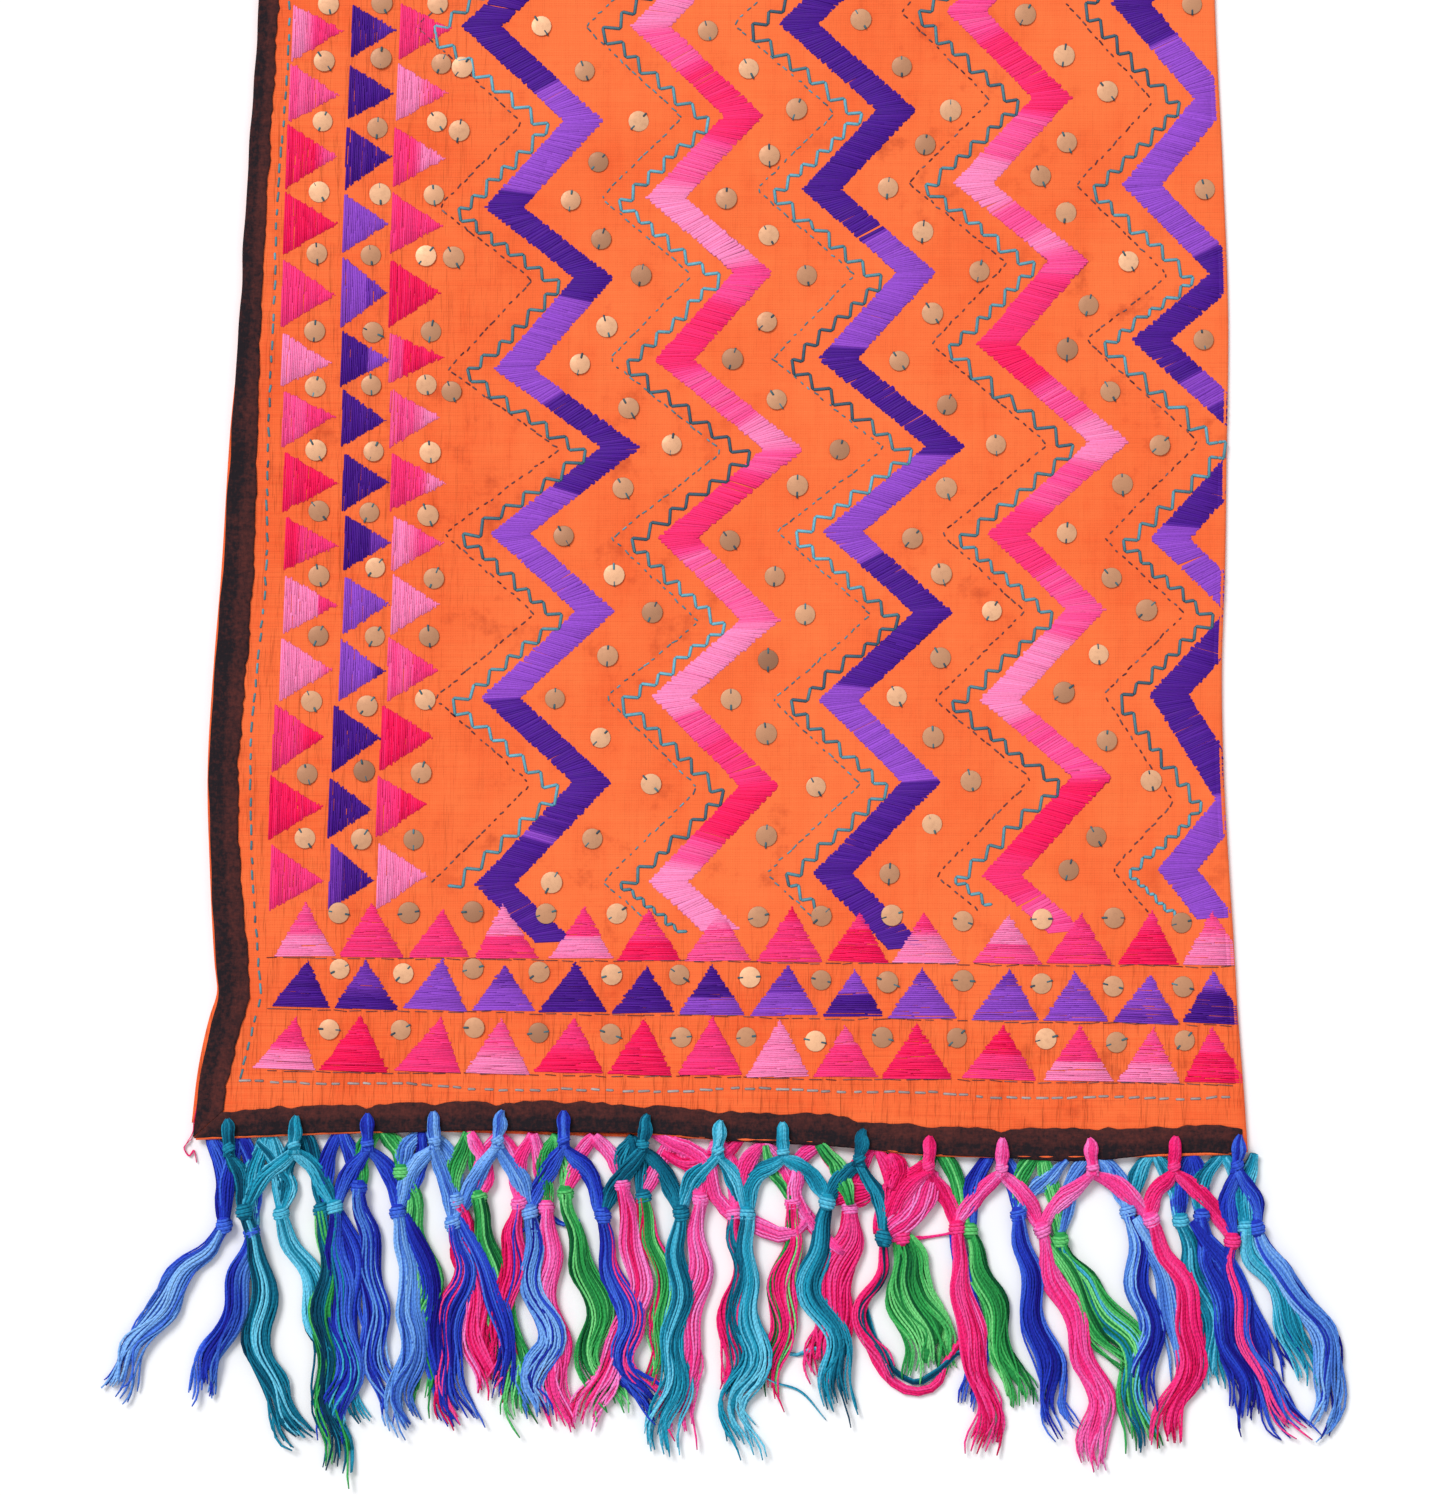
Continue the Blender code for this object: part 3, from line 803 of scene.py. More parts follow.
@dataclass(frozen=True)
class CottonFinish:
    """Matt orange plain-weave cotton with slubs, uneven dye and a few faint marks.

    Scales are grains a metre. The tint's share says how crumpled the cloth is: crumpling darkens the cloth,
    strengthens its slubs and lines, and deepens the crease streaks, which are painted shade along the grooves
    of their bump.
    """

    base: Colour = linear(250, 118, 64)
    deep: Colour = linear(226, 70, 30)
    # Darkest colour: sparse spots and thread lines, and painted shade along the crease streaks
    mark_and_shade: Colour = linear(150, 48, 30)
    cloud_scale: float = 13.0
    thread_scale: float = 560.0
    weave_scale: float = 380.0

    def build(self) -> bpy.types.Material:
        """Makes the material: dye in clouds, slubs as stretched noise, marks as sparse spots, painted shade
        along the crease streaks, and a woven bump.
        """
        g = Graph("cotton", Roughness=0.9, Specular_IOR_Level=0.12)
        plan, crumple = g.place(), g.share()
        weft, warp = g.streaks(14.0, self.thread_scale), g.streaks(self.thread_scale, 16.0)
        clouds = g.mapped(g.noise(plan, self.cloud_scale, 6.0, 0.66), 0.42, 0.68)
        faded = g.mapped(g.streaks(60.0, 9.0), 0.5, 0.8)
        slubs = g.mapped(weft, 0.42, 0.66) * 0.6 + g.mapped(warp, 0.46, 0.7) * 0.35
        deepened = clouds * 0.36 + slubs * (0.12 + crumple * 0.2) + faded * 0.2 + crumple * 0.12
        patches = g.mapped(g.noise(plan, 7.0, 1.0), 0.46, 0.6)
        blot = g.mapped(g.noise(plan, 52.0, 5.0, 0.65), 0.56, 0.72) * patches
        line = g.mapped(g.streaks(22.0, 1100.0, 2.0, 0.5), 0.58, 0.72)
        # Painted shade: the crease streaks darken the colour where the bump below sinks them, more where it
        # is crumpled
        crease = g.mapped(g.streaks(240.0, 26.0), 0.5, 0.7)
        # Sparse spots, thread lines and the painted shade of the crease streaks, all in the darkest colour
        marks_and_shade = blot * 0.4 + line * (0.06 + crumple * 0.16) + crease * (0.05 + crumple * 0.12)
        bump = weft * 0.9 + warp * 0.5 + g.noise(plan, 90.0, 3.0) * 1.5 - crease * (crumple * 4.0 + 0.5)
        for direction in "XY":
            inputs = {"Vector": plan, "Scale": self.weave_scale, "Distortion": 0.8}
            bump = bump + g.node("ShaderNodeTexWave", {"bands_direction": direction}, inputs) * 0.25
        return g.finish(g.mix(marks_and_shade, g.mix(deepened, self.base, self.deep), self.mark_and_shade), None, bump, 0.6)


@dataclass(frozen=True)
class TapeFinish:
    """Thin black cotton tape: dense along its outer half, and so thin inside that the orange warms it."""

    dark: Colour = linear(30, 24, 29)
    warm: Colour = linear(88, 42, 38)
    thread_scale: float = 900.0

    def build(self) -> bpy.types.Material:
        """Makes the material from the tint, which holds how thin the tape is, broken up by fine cross
        threads.
        """
        g = Graph("tape", Roughness=0.85, Specular_IOR_Level=0.15)
        threads = g.streaks(self.thread_scale, 260.0)
        cross = g.streaks(260.0, self.thread_scale)
        cloud = g.noise(g.place(), 34.0, 5.0, 0.62)
        speck = g.noise(g.place(), 420.0, 3.0, 0.7)
        worn = g.share() * 0.6 + (cloud - 0.5) * 1.8 + (threads + cross - 1.0) * 1.1 + (speck - 0.5) * 2.6
        colour = g.mix(g.mapped(worn, -0.15, 1.35), self.dark, self.warm)
        return g.finish(colour, None, threads + cross + cloud * 0.8, 0.6)


@dataclass(frozen=True)
class ThreadFinish:
    """Dyed thread: its colour comes from the tint, broken by painted shade between fine fibres, with a soft
    sheen.
    """

    name: str
    roughness: float
    shine: float
    fibre_scale: float
    # How much painted shade darkens the tint between fibres and in grooves
    depth: float = 0.22
    bump: float = 0.3
    ply: float = 0.0
    groove: float = 0.13

    def build(self) -> bpy.types.Material:
        """Makes the material: the tint, darkened a little by painted shade between fibres and in the ply
        grooves, and a fibre bump.

        With a ply, grooves wind round the yarn once in that many millimetres: sin(turn + angle), which is
        sin(turn) * cos(angle) + cos(turn) * sin(angle).
        """
        g = Graph(self.name, Specular_IOR_Level=self.shine)
        fibre = g.noise(g.place(), self.fibre_scale, 3.0, 0.65)
        height = fibre
        if self.ply:
            along, cosine, sine = (g.grain(axis) for axis in "XYZ")
            turn = along * (2 * math.pi / self.ply)
            groove = turn.math("SINE", turn, 0.0) * cosine + turn.math("COSINE", turn, 0.0) * sine
            height = fibre + groove * self.groove
        # Painted shade: the tint darkened by the depth where the fibres and grooves of the bump are low
        shaded_tint = g.mix(1.0, g.tint(), (1 - self.depth,) * 3, "MULTIPLY")
        colour = g.mix(g.mapped(height, 0.34, 0.58), shaded_tint, g.tint())
        rough = g.mapped(fibre, 0.3, 0.7, self.roughness - 0.08, self.roughness + 0.08)
        return g.finish(colour, rough, height, self.bump)


@dataclass(frozen=True)
class SequinFinish:
    """Thin stamped discs of worn coppery metal, dulled by age."""

    def build(self) -> bpy.types.Material:
        """Makes the material: the tint with faint rubbed spots, a little of it metal."""
        g = Graph("sequin", Metallic=0.2, Specular_IOR_Level=0.35)
        rub = g.noise(g.place(), 420.0, 3.0, 0.6)
        colour = g.mix(g.mapped(rub, 0.45, 0.75) * 0.3, g.tint(), COPPER.value[2])
        return g.finish(colour, g.mapped(rub, 0.3, 0.7, 0.38, 0.55), rub, 0.1, BUMP_DEPTH / 2)


# The cloth and its tapes
@dataclass
class Cloth:
    """The folded cloth as one thin shell on the form of its solid."""

    form: ClothForm
    thickness: float = 0.8
    upper_columns: int = 140
    fold_columns: int = 8
    under_columns: int = 8

    def stations(self) -> Array:
        """Distances along the cloth of its rows: close together where it is puckered, wide apart past the
        view.
        """
        near = np.concatenate([np.arange(0, 70, 2.0), np.arange(70, 560, 5.0)])
        far_hem = np.arange(LENGTH - 60, LENGTH + 0.1, 4.0)
        return np.concatenate([near, np.arange(560, LENGTH - 60, 24.0), far_hem])

    def under_left(self, along: Array) -> Array:
        """The under layer's open edge, which peeks out beside the near part of the upper layer."""
        return self.form.edge(along, "open_edge") - UNDER_PEEK * (1 - 2 * ease((along - 330.0) / 90.0))

    def shell(self) -> Part:
        """The shell: each row runs from the under layer's edge, round the fold, to the upper layer's edge.

        Under layer: level. Fold: a half circle of the folded height's half. Upper layer: the form's height.
        The inner sheet is the same line moved in by the thickness. The tint says how crumpled it is, near a
        hem or the open edge.

        Returns:
            The shell as one part.
        """
        form, rows = self.form, self.stations()[:, None]
        fold, left = form.edge(rows, "fold"), self.under_left(rows)
        top = form.flat_height(fold, rows)
        radius = top / 2
        share = np.linspace(0, 1, self.under_columns)[None]
        across = left + share * (fold - radius - left)
        under_y = form.strayed(rows, form.under_near_hem(across), form.under_far_hem(across))
        flat = np.zeros_like(across)
        turn = np.linspace(-np.pi / 2, np.pi / 2, self.fold_columns + 1)[None, 1:-1]
        centre = fold - radius
        top_y = form.upper_line(centre, rows)
        turn_share = (turn + np.pi / 2) / np.pi
        turn_y = under_y[:, -1:] + (top_y - under_y[:, -1:]) * turn_share
        inside = radius - self.thickness
        upper_left = form.edge(rows, "open_edge")
        upper_x = centre + np.linspace(0, 1, self.upper_columns)[None] * (upper_left - centre)
        upper_y = form.upper_line(upper_x, rows)
        upper_z = form.flat_height(upper_x, rows)
        x = np.concatenate([across, centre + radius * np.cos(turn), upper_x], axis=1)
        y = np.concatenate([under_y, turn_y, upper_y], axis=1)
        z = np.concatenate([flat, radius + radius * np.sin(turn), upper_z], axis=1)
        in_x = np.concatenate([across, centre + inside * np.cos(turn), upper_x], axis=1)
        in_turn = radius + inside * np.sin(turn)
        in_z = np.concatenate([flat + self.thickness, in_turn, upper_z - self.thickness], axis=1)
        wall = swept_wall(np.stack([x, y, z], -1), np.stack([in_x, y, in_z], -1))
        from_hem = np.minimum(rows, LENGTH - rows)
        # The crumple share: the cotton turns it into darker cloth and deeper painted shade along its crease
        # streaks
        crumple = np.maximum(1 - ease((from_hem - 20) / 110), 0.7 * (1 - ease((x - left - 60) / 90)))
        both = np.concatenate([crumple, crumple[:, ::-1]], axis=1).reshape(-1, 1)
        return Part(wall.points, wall.faces, np.repeat(both, 3, axis=1))

    def build(self, finish: bpy.types.Material) -> bpy.types.Object:
        """Makes the piece, which stands for the cloth's solid."""
        piece = make_piece("cotton_cloth", self.shell(), finish)
        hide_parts("cloth")
        return piece


class TapeEdge(Enum):
    """The three edges that carry tape."""

    NEAR = "tape_near_hem"
    FAR = "tape_far_hem"
    OPEN = "tape_open_edge"


@dataclass
class Tape:
    """One length of tape on the upper layer, a thin strip with rounded edges."""

    form: ClothForm
    edge: TapeEdge
    seed: int
    width: float = 13.0
    thick: float = 0.4
    above: float = 0.25
    columns: int = 13

    def lines(self) -> tuple[Array, Array]:
        """The strip's outer line and inner line.

        Both waver by seeded noise. A hem tape also hangs past the hem by a little that wanders.

        Returns:
            Two lines of (across, along) pairs.
        """
        draw = np.random.default_rng(self.seed)
        if self.edge is TapeEdge.OPEN:
            far = np.arange(600, LENGTH - 1, 12.0)
            along = np.concatenate([np.arange(0.6, 600, 3.0), far, [LENGTH - 0.6]])
            left, width = self.form.edge(along, "open_edge"), self.form.edge(along, "tape")
            outer = np.column_stack([left - 0.3 + 0.25 * wander(along, 40, draw), along])
            inner_x = left + width + 0.35 * wander(along, 30, draw) + 0.3 * wander(along, 9, draw)
            mitre = np.clip(np.minimum(along, LENGTH - along) / self.width, 0, 1)
            inner = np.column_stack([outer[:, 0] + (inner_x - outer[:, 0]) * mitre, along])
            return outer, inner
        near = self.edge is TapeEdge.NEAR
        row = EDGES[0] if near else EDGES[-1]
        across = np.arange(row.open_edge + 0.4, row.fold - 0.8, 2.2 if near else 5.0)
        overhang = 1.2 + 1.4 * wander(across, 120, draw)
        overhang = np.where(across < 90, np.minimum(overhang, 0.2), overhang)
        pinch = 1.0 - self.form.ridges(across)
        depth = self.width + 0.4 * wander(across, 45, draw) - 1.4 * pinch**6 + 0.3 * wander(across, 8, draw)
        out, into = -np.clip(overhang, -0.4, 2.6), depth
        mitre = np.clip((across - row.open_edge) / self.width, 0.03, 1)
        into = out + (into - out) * mitre
        if not near:
            out, into = LENGTH - out, LENGTH - into
        return np.column_stack([across, out]), np.column_stack([across, into])

    def build(self, finish: bpy.types.Material) -> bpy.types.Object:
        """Makes the strip.

        A point of the strip is a straight mix of the outer and inner line by the share across, at the
        cloth's height plus the gap, and it droops where it hangs past the hem. The upper sheet adds the
        thickness times the fifth root of a sine, which rounds its two edges. The tint says how worn the
        tape is.

        Returns:
            The piece, which stands for that edge's solid.
        """
        outer, inner = self.lines()
        share = np.linspace(0, 1, self.columns)[None, :, None]
        plan = outer[:, None] + (inner - outer)[:, None] * share
        held = np.clip(plan[..., 1], 0, LENGTH)
        low = self.form.upper(plan[..., 0], held, self.above)
        low[..., 2] += 0.12 * ripple(plan[..., 0] * 3.0, plan[..., 1] * 3.0, 40.0, self.seed)
        low[..., 1] += plan[..., 1] - held
        past = np.clip(np.abs(plan[..., 1] - held) / 2.6, 0, 1)
        low[..., 2] -= 1.1 * past**2
        high = low.copy()
        high[..., 2] += self.thick * np.sin(np.pi * (0.04 + 0.92 * share[..., 0])) ** 0.2
        part = swept_wall(high, low)
        thin = ease((share[..., 0] - 0.4) / 0.2) * np.ones((len(outer), 1))
        sheet_tint = np.concatenate([thin, thin[:, ::-1]], axis=1).reshape(-1)
        tint = np.repeat(sheet_tint[:, None], 3, axis=1)
        piece = make_piece("binding_" + self.edge.value, Part(part.points, part.faces, tint), finish)
        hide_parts(self.edge.value)
        return piece


# Embroidery
class Place(NamedTuple):
    """A place on the cloth: how far along it, and how far across."""

    along: float
    across: float


class Tone(NamedTuple):
    """Where a new length of floss begins, counted along the cloth, and how deep it is dyed."""

    along: float
    depth: float


@dataclass(frozen=True)
class BandPlan:
    """One zigzag band: its floss, the turns of its left edge and the floss's tones.

    Beside it run a fine thread of its own dye and a stepped outline, and each starts at its own distance
    along.
    """

    floss: Dye
    turns: tuple[Place, ...]
    tones: tuple[Tone, ...]
    beside: Dye
    outline_from: float
    dashes_from: float


BANDS = (
    BandPlan(
        PURPLE,
        (Place(94, 161), Place(121, 132.5), Place(170, 179), Place(210, 135.5), Place(251, 180.5),
         Place(288, 140),
         Place(329, 192.5), Place(366, 142), Place(409.5, 180), Place(443, 137), Place(484, 175),
         Place(529, 126.5)),
        (Tone(94, 1.9), Tone(143, 0.3), Tone(146, 1.85), Tone(210, 0.15), Tone(309, 1.9), Tone(353, 0.2),
         Tone(400, 1.95), Tone(451, 0.1), Tone(501, 2.0)),
        DUSK, 120.5, 122.0,
    ),
    BandPlan(
        ROSE,
        (Place(100, 240), Place(122.5, 215), Place(168, 258.5), Place(210.5, 216.5),
         Place(247, 259), Place(286, 219.5),
         Place(328, 270), Place(370.5, 218), Place(412, 255.5), Place(447.5, 214),
         Place(486.5, 251), Place(529, 206.5)),
        (Tone(100, 0.0), Tone(133, 0.8), Tone(145, 1.95), Tone(171, 1.5), Tone(193, 0.9), Tone(206, 0.05),
         Tone(247, 0.7), Tone(283, 1.6), Tone(318, 0.9), Tone(331, 0.15), Tone(344, 0.9), Tone(368, 1.7),
         Tone(400, 1.0), Tone(419, 0.05), Tone(456, 0.8), Tone(477, 1.7), Tone(512, 0.8), Tone(531, 0.2)),
        STITCH, 96.0, 106.0,
    ),
    BandPlan(
        PURPLE,
        (Place(92.5, 328), Place(126.5, 293), Place(170, 335.5), Place(209, 296),
         Place(250.5, 341), Place(289, 298),
         Place(329.5, 347), Place(371, 295.5), Place(412, 333), Place(451.5, 288),
         Place(489, 323.5), Place(530, 277)),
        (Tone(92, 1.9), Tone(171, 0.15), Tone(216, 1.9), Tone(277, 0.2), Tone(326, 1.95),
         Tone(377, 0.2), Tone(430, 1.95)),
        STITCH, 106.0, 103.0,
    ),
    BandPlan(
        ROSE,
        (Place(100, 404), Place(125.5, 373.5), Place(172.5, 416.5), Place(209, 372.5), Place(252, 413.5),
         Place(288, 376), Place(331.5, 424.5), Place(378, 371), Place(417.5, 405.5), Place(454.5, 360),
         Place(495, 397.5), Place(536, 356.5)),
        (Tone(100, 0.9), Tone(118, 1.6), Tone(137, 1.95), Tone(174, 0.9), Tone(203, 0.1),
         Tone(241, 0.9), Tone(273, 1.5),
         Tone(302, 0.9), Tone(325, 0.15), Tone(345, 0.9), Tone(362, 1.9), Tone(381, 1.5),
         Tone(413, 0.9), Tone(425, 0.2),
         Tone(433, 0.9), Tone(446, 0.05), Tone(468, 0.8), Tone(490, 1.7), Tone(527, 0.9)),
        DUSK, 112.0, 109.0,
    ),
    BandPlan(
        PURPLE,
        (Place(106, 475), Place(128.5, 457), Place(161.5, 484.5), Place(211.5, 453), Place(251, 489.5),
         Place(285.5, 453.5), Place(332.5, 496.5), Place(380, 444.5), Place(411.5, 482), Place(453.5, 440),
         Place(494.5, 474.5), Place(540, 435)),
        (Tone(106, 0.3), Tone(166, 1.9), Tone(256, 0.3), Tone(292, 1.9), Tone(351, 0.6),
         Tone(363, 1.95), Tone(423, 0.15),
         Tone(523, 1.9)),
        DUSK, 97.0, 108.0,
    ),
)
BAND_WIDTH = 19.2
LEG_RUN = 41.0
SWING = 43.0
BORDER_DEPTH = 94.0
VIEW_END = 545.0


@dataclass
class Zigzag:
    """The line that one band follows: its left edge, at each distance along the cloth."""

    order: int
    plan: BandPlan
    turns: Array = field(init=False)
    places: Array = field(init=False)

    def __post_init__(self) -> None:
        """Lays out the turns: the plan's own ones, and past them half a swing to each side of a wandering
        middle.
        """
        draw = np.random.default_rng(40 + self.order)
        along = [turn.along for turn in self.plan.turns]
        across = [turn.across for turn in self.plan.turns]
        middle = across[-1] + SWING / 2
        while along[-1] + LEG_RUN < LENGTH - BORDER_DEPTH:
            along.append(along[-1] + LEG_RUN + draw.uniform(-2.5, 2.5))
            middle = middle + draw.uniform(-3.5, 3.5) + 0.12 * (148.0 + 77.0 * self.order - middle)
            across.append(middle + SWING / 2 * (-1) ** len(across))
        self.turns, self.places = np.array(along), np.array(across)

    def left(self, along: Array) -> Array:
        """The band's left edge: straight lines from turn to turn."""
        return np.interp(along, self.turns, self.places)

    def beside(self, along: Array, at_left: float, at_right: float, below: float = 0.0) -> Array:
        """A line beside the band, at one distance from it at left turns and another at right ones.

        Args:
            along: distances along the cloth.
            at_left: how far right of the band's left edge it runs at left turns.
            at_right: how far at right turns.
            below: how much nearer to the near hem its right turns are than the band's own.

        Returns:
            Places across the cloth.
        """
        right = np.arange(len(self.turns)) % 2 == 0
        return np.interp(along, self.turns - below * right, self.places + np.where(right, at_right, at_left))

    def lean(self, along: Array) -> Array:
        """The slope of the floats: square to each leg in part, and almost level near a turn."""
        leg = np.clip(np.searchsorted(self.turns, along) - 1, 0, len(self.turns) - 2)
        near = np.minimum(along - self.turns[leg], self.turns[leg + 1] - along)
        return np.where(leg % 2 == 0, 0.28, -0.28) * ease(near / 15.0 + 0.1) + 0.06

    def depth(self, along: Array, draw: np.random.Generator) -> Array:
        """How deep the floss is dyed: the plan's tones, each reached over a few threads, and seeded ones
        past them.

        Args:
            along: distances along the cloth.
            draw: the seeded source.

        Returns:
            Depths of the dye.
        """
        starts = [tone.along for tone in self.plan.tones]
        depths = [tone.depth for tone in self.plan.tones]
        while starts[-1] < LENGTH:
            starts.append(max(starts[-1], VIEW_END - 10) + draw.uniform(30, 90))
            depths.append(float(draw.choice([0.1, 0.9, 1.9])))
        blend = 1.2 if self.plan.floss is PURPLE else 5.0
        ends = np.append(np.array(starts[1:]) - blend, LENGTH + 9)
        knots = np.column_stack([starts, np.maximum(ends, np.array(starts) + 0.4)]).ravel()
        return np.interp(along, knots, np.repeat(depths, 2))


class Fill(NamedTuple):
    """The depths of one triangle's floss: at its base and at its tip."""

    base: float
    tip: float


FILL_DEPTHS = {"p": 0.05, "f": 0.8, "w": 1.3, "h": 1.9}


def chart(text: str) -> tuple[Fill, ...]:
    """Fills from a pair of letters for each, base then tip: p for pale, f for fair, w for warm and h for
    hot.
    """
    return tuple(Fill(*(FILL_DEPTHS[letter] for letter in pair)) for pair in text.split())


class Column(NamedTuple):
    """One column of triangles along the open edge.

    It stands inset from the base line, and its tips reach further by the reach. A sequin lies in each
    notch, that far from its foot, and at the outer steps one more lies past the tips.
    """

    inset: float
    reach: float
    sequin: float
    floss: Dye
    fills: tuple[Fill, ...]
    outer: tuple[int, ...] = ()


OPEN_EDGES = (108, 142, 174, 208, 239.5, 269, 297.5, 328, 357.5, 385, 420, 451, 483, 512.5, 541)
COLUMNS = (
    Column(0.0, 25.0, 15.8, ROSE, chart("ww hh wh pf pw hw hh fw pp ww hh hf ff pw")),
    Column(28.2, 21.6, 14.6, PURPLE, chart("fh hh hh ph pp hf hh hh hp pf pp hh hh hw")),
    Column(51.0, 24.8, 18.5, ROSE, chart("pp wh hh fw pp pf wp fp fh hh ww wp pf ww"), (8, 10, 12, 13)),
)


class Margin(NamedTuple):
    """How far inside the tape the base line of the columns is, at one distance along the cloth."""

    along: float
    width: float


MARGINS = (
    Margin(100, 13.2), Margin(160, 14.8), Margin(225, 16.2), Margin(330, 12.2),
    Margin(400, 9.6), Margin(530, 7.4), Margin(700, 7.0), Margin(2200, 11.0),
)


# Where a stitch is cut near the fold, as places across from it. The bend begins at the second.
FOLD_CUTS = (-2 * LENGTH, -4.2, -2.3, -1.1, -0.35)


class HemRow(NamedTuple):
    """One row of triangles along a hem.

    Its base line's distance from the hem changes evenly from stand, at the open edge, to stand_fold, at the
    fold. The tips are places across the cloth. A base lies left of its tip by the lean, which fades out
    across the cloth. Its sequins lie at a share of the reach between tips, with none after the bare one.
    """

    stand: float
    stand_fold: float
    reach: float
    lean: float
    sequin: float
    bare: int
    floss: Dye
    tips: tuple[float, ...]
    fills: tuple[Fill, ...]

    def line(self, across: Array) -> Array:
        """The base line's distance from the hem."""
        return self.stand + (self.stand_fold - self.stand) * across / EDGES[0].fold


HEM_ROWS = (
    HemRow(88.0, 83.0, 24.5, 0.0, 0.86, 5, ROSE,
           (52.7, 84.1, 117.8, 146.3, 185.3, 215.4, 249.2, 283.6, 315.9, 346.3, 386.5, 420.9, 454.6, 483.1),
           chart("pf ww ww wp pw hw fp wh hw pw fp ww hw pf")),
    HemRow(63.9, 55.2, 24.0, 2.0, 0.75, -1, PURPLE,
           (53.7, 81.2, 117.8, 147.3, 181.0, 214.7, 245.6, 281.7, 313.5, 345.3, 387.1, 418.0, 454.1, 483.6),
           chart("hh hf pp pf hh hh ph pf hp pf pf pp fp hp")),
    HemRow(34.3, 27.2, 26.5, 5.0, 0.72, -1, ROSE,
           (48.2, 78.9, 116.9, 145.6, 180.5, 213.5, 245.9, 278.0, 308.8, 342.9, 383.9, 420.4, 455.1, 483.1),
           chart("pw hh ww pf hw hh ww pp wf hh wh pw pf hw")),
)


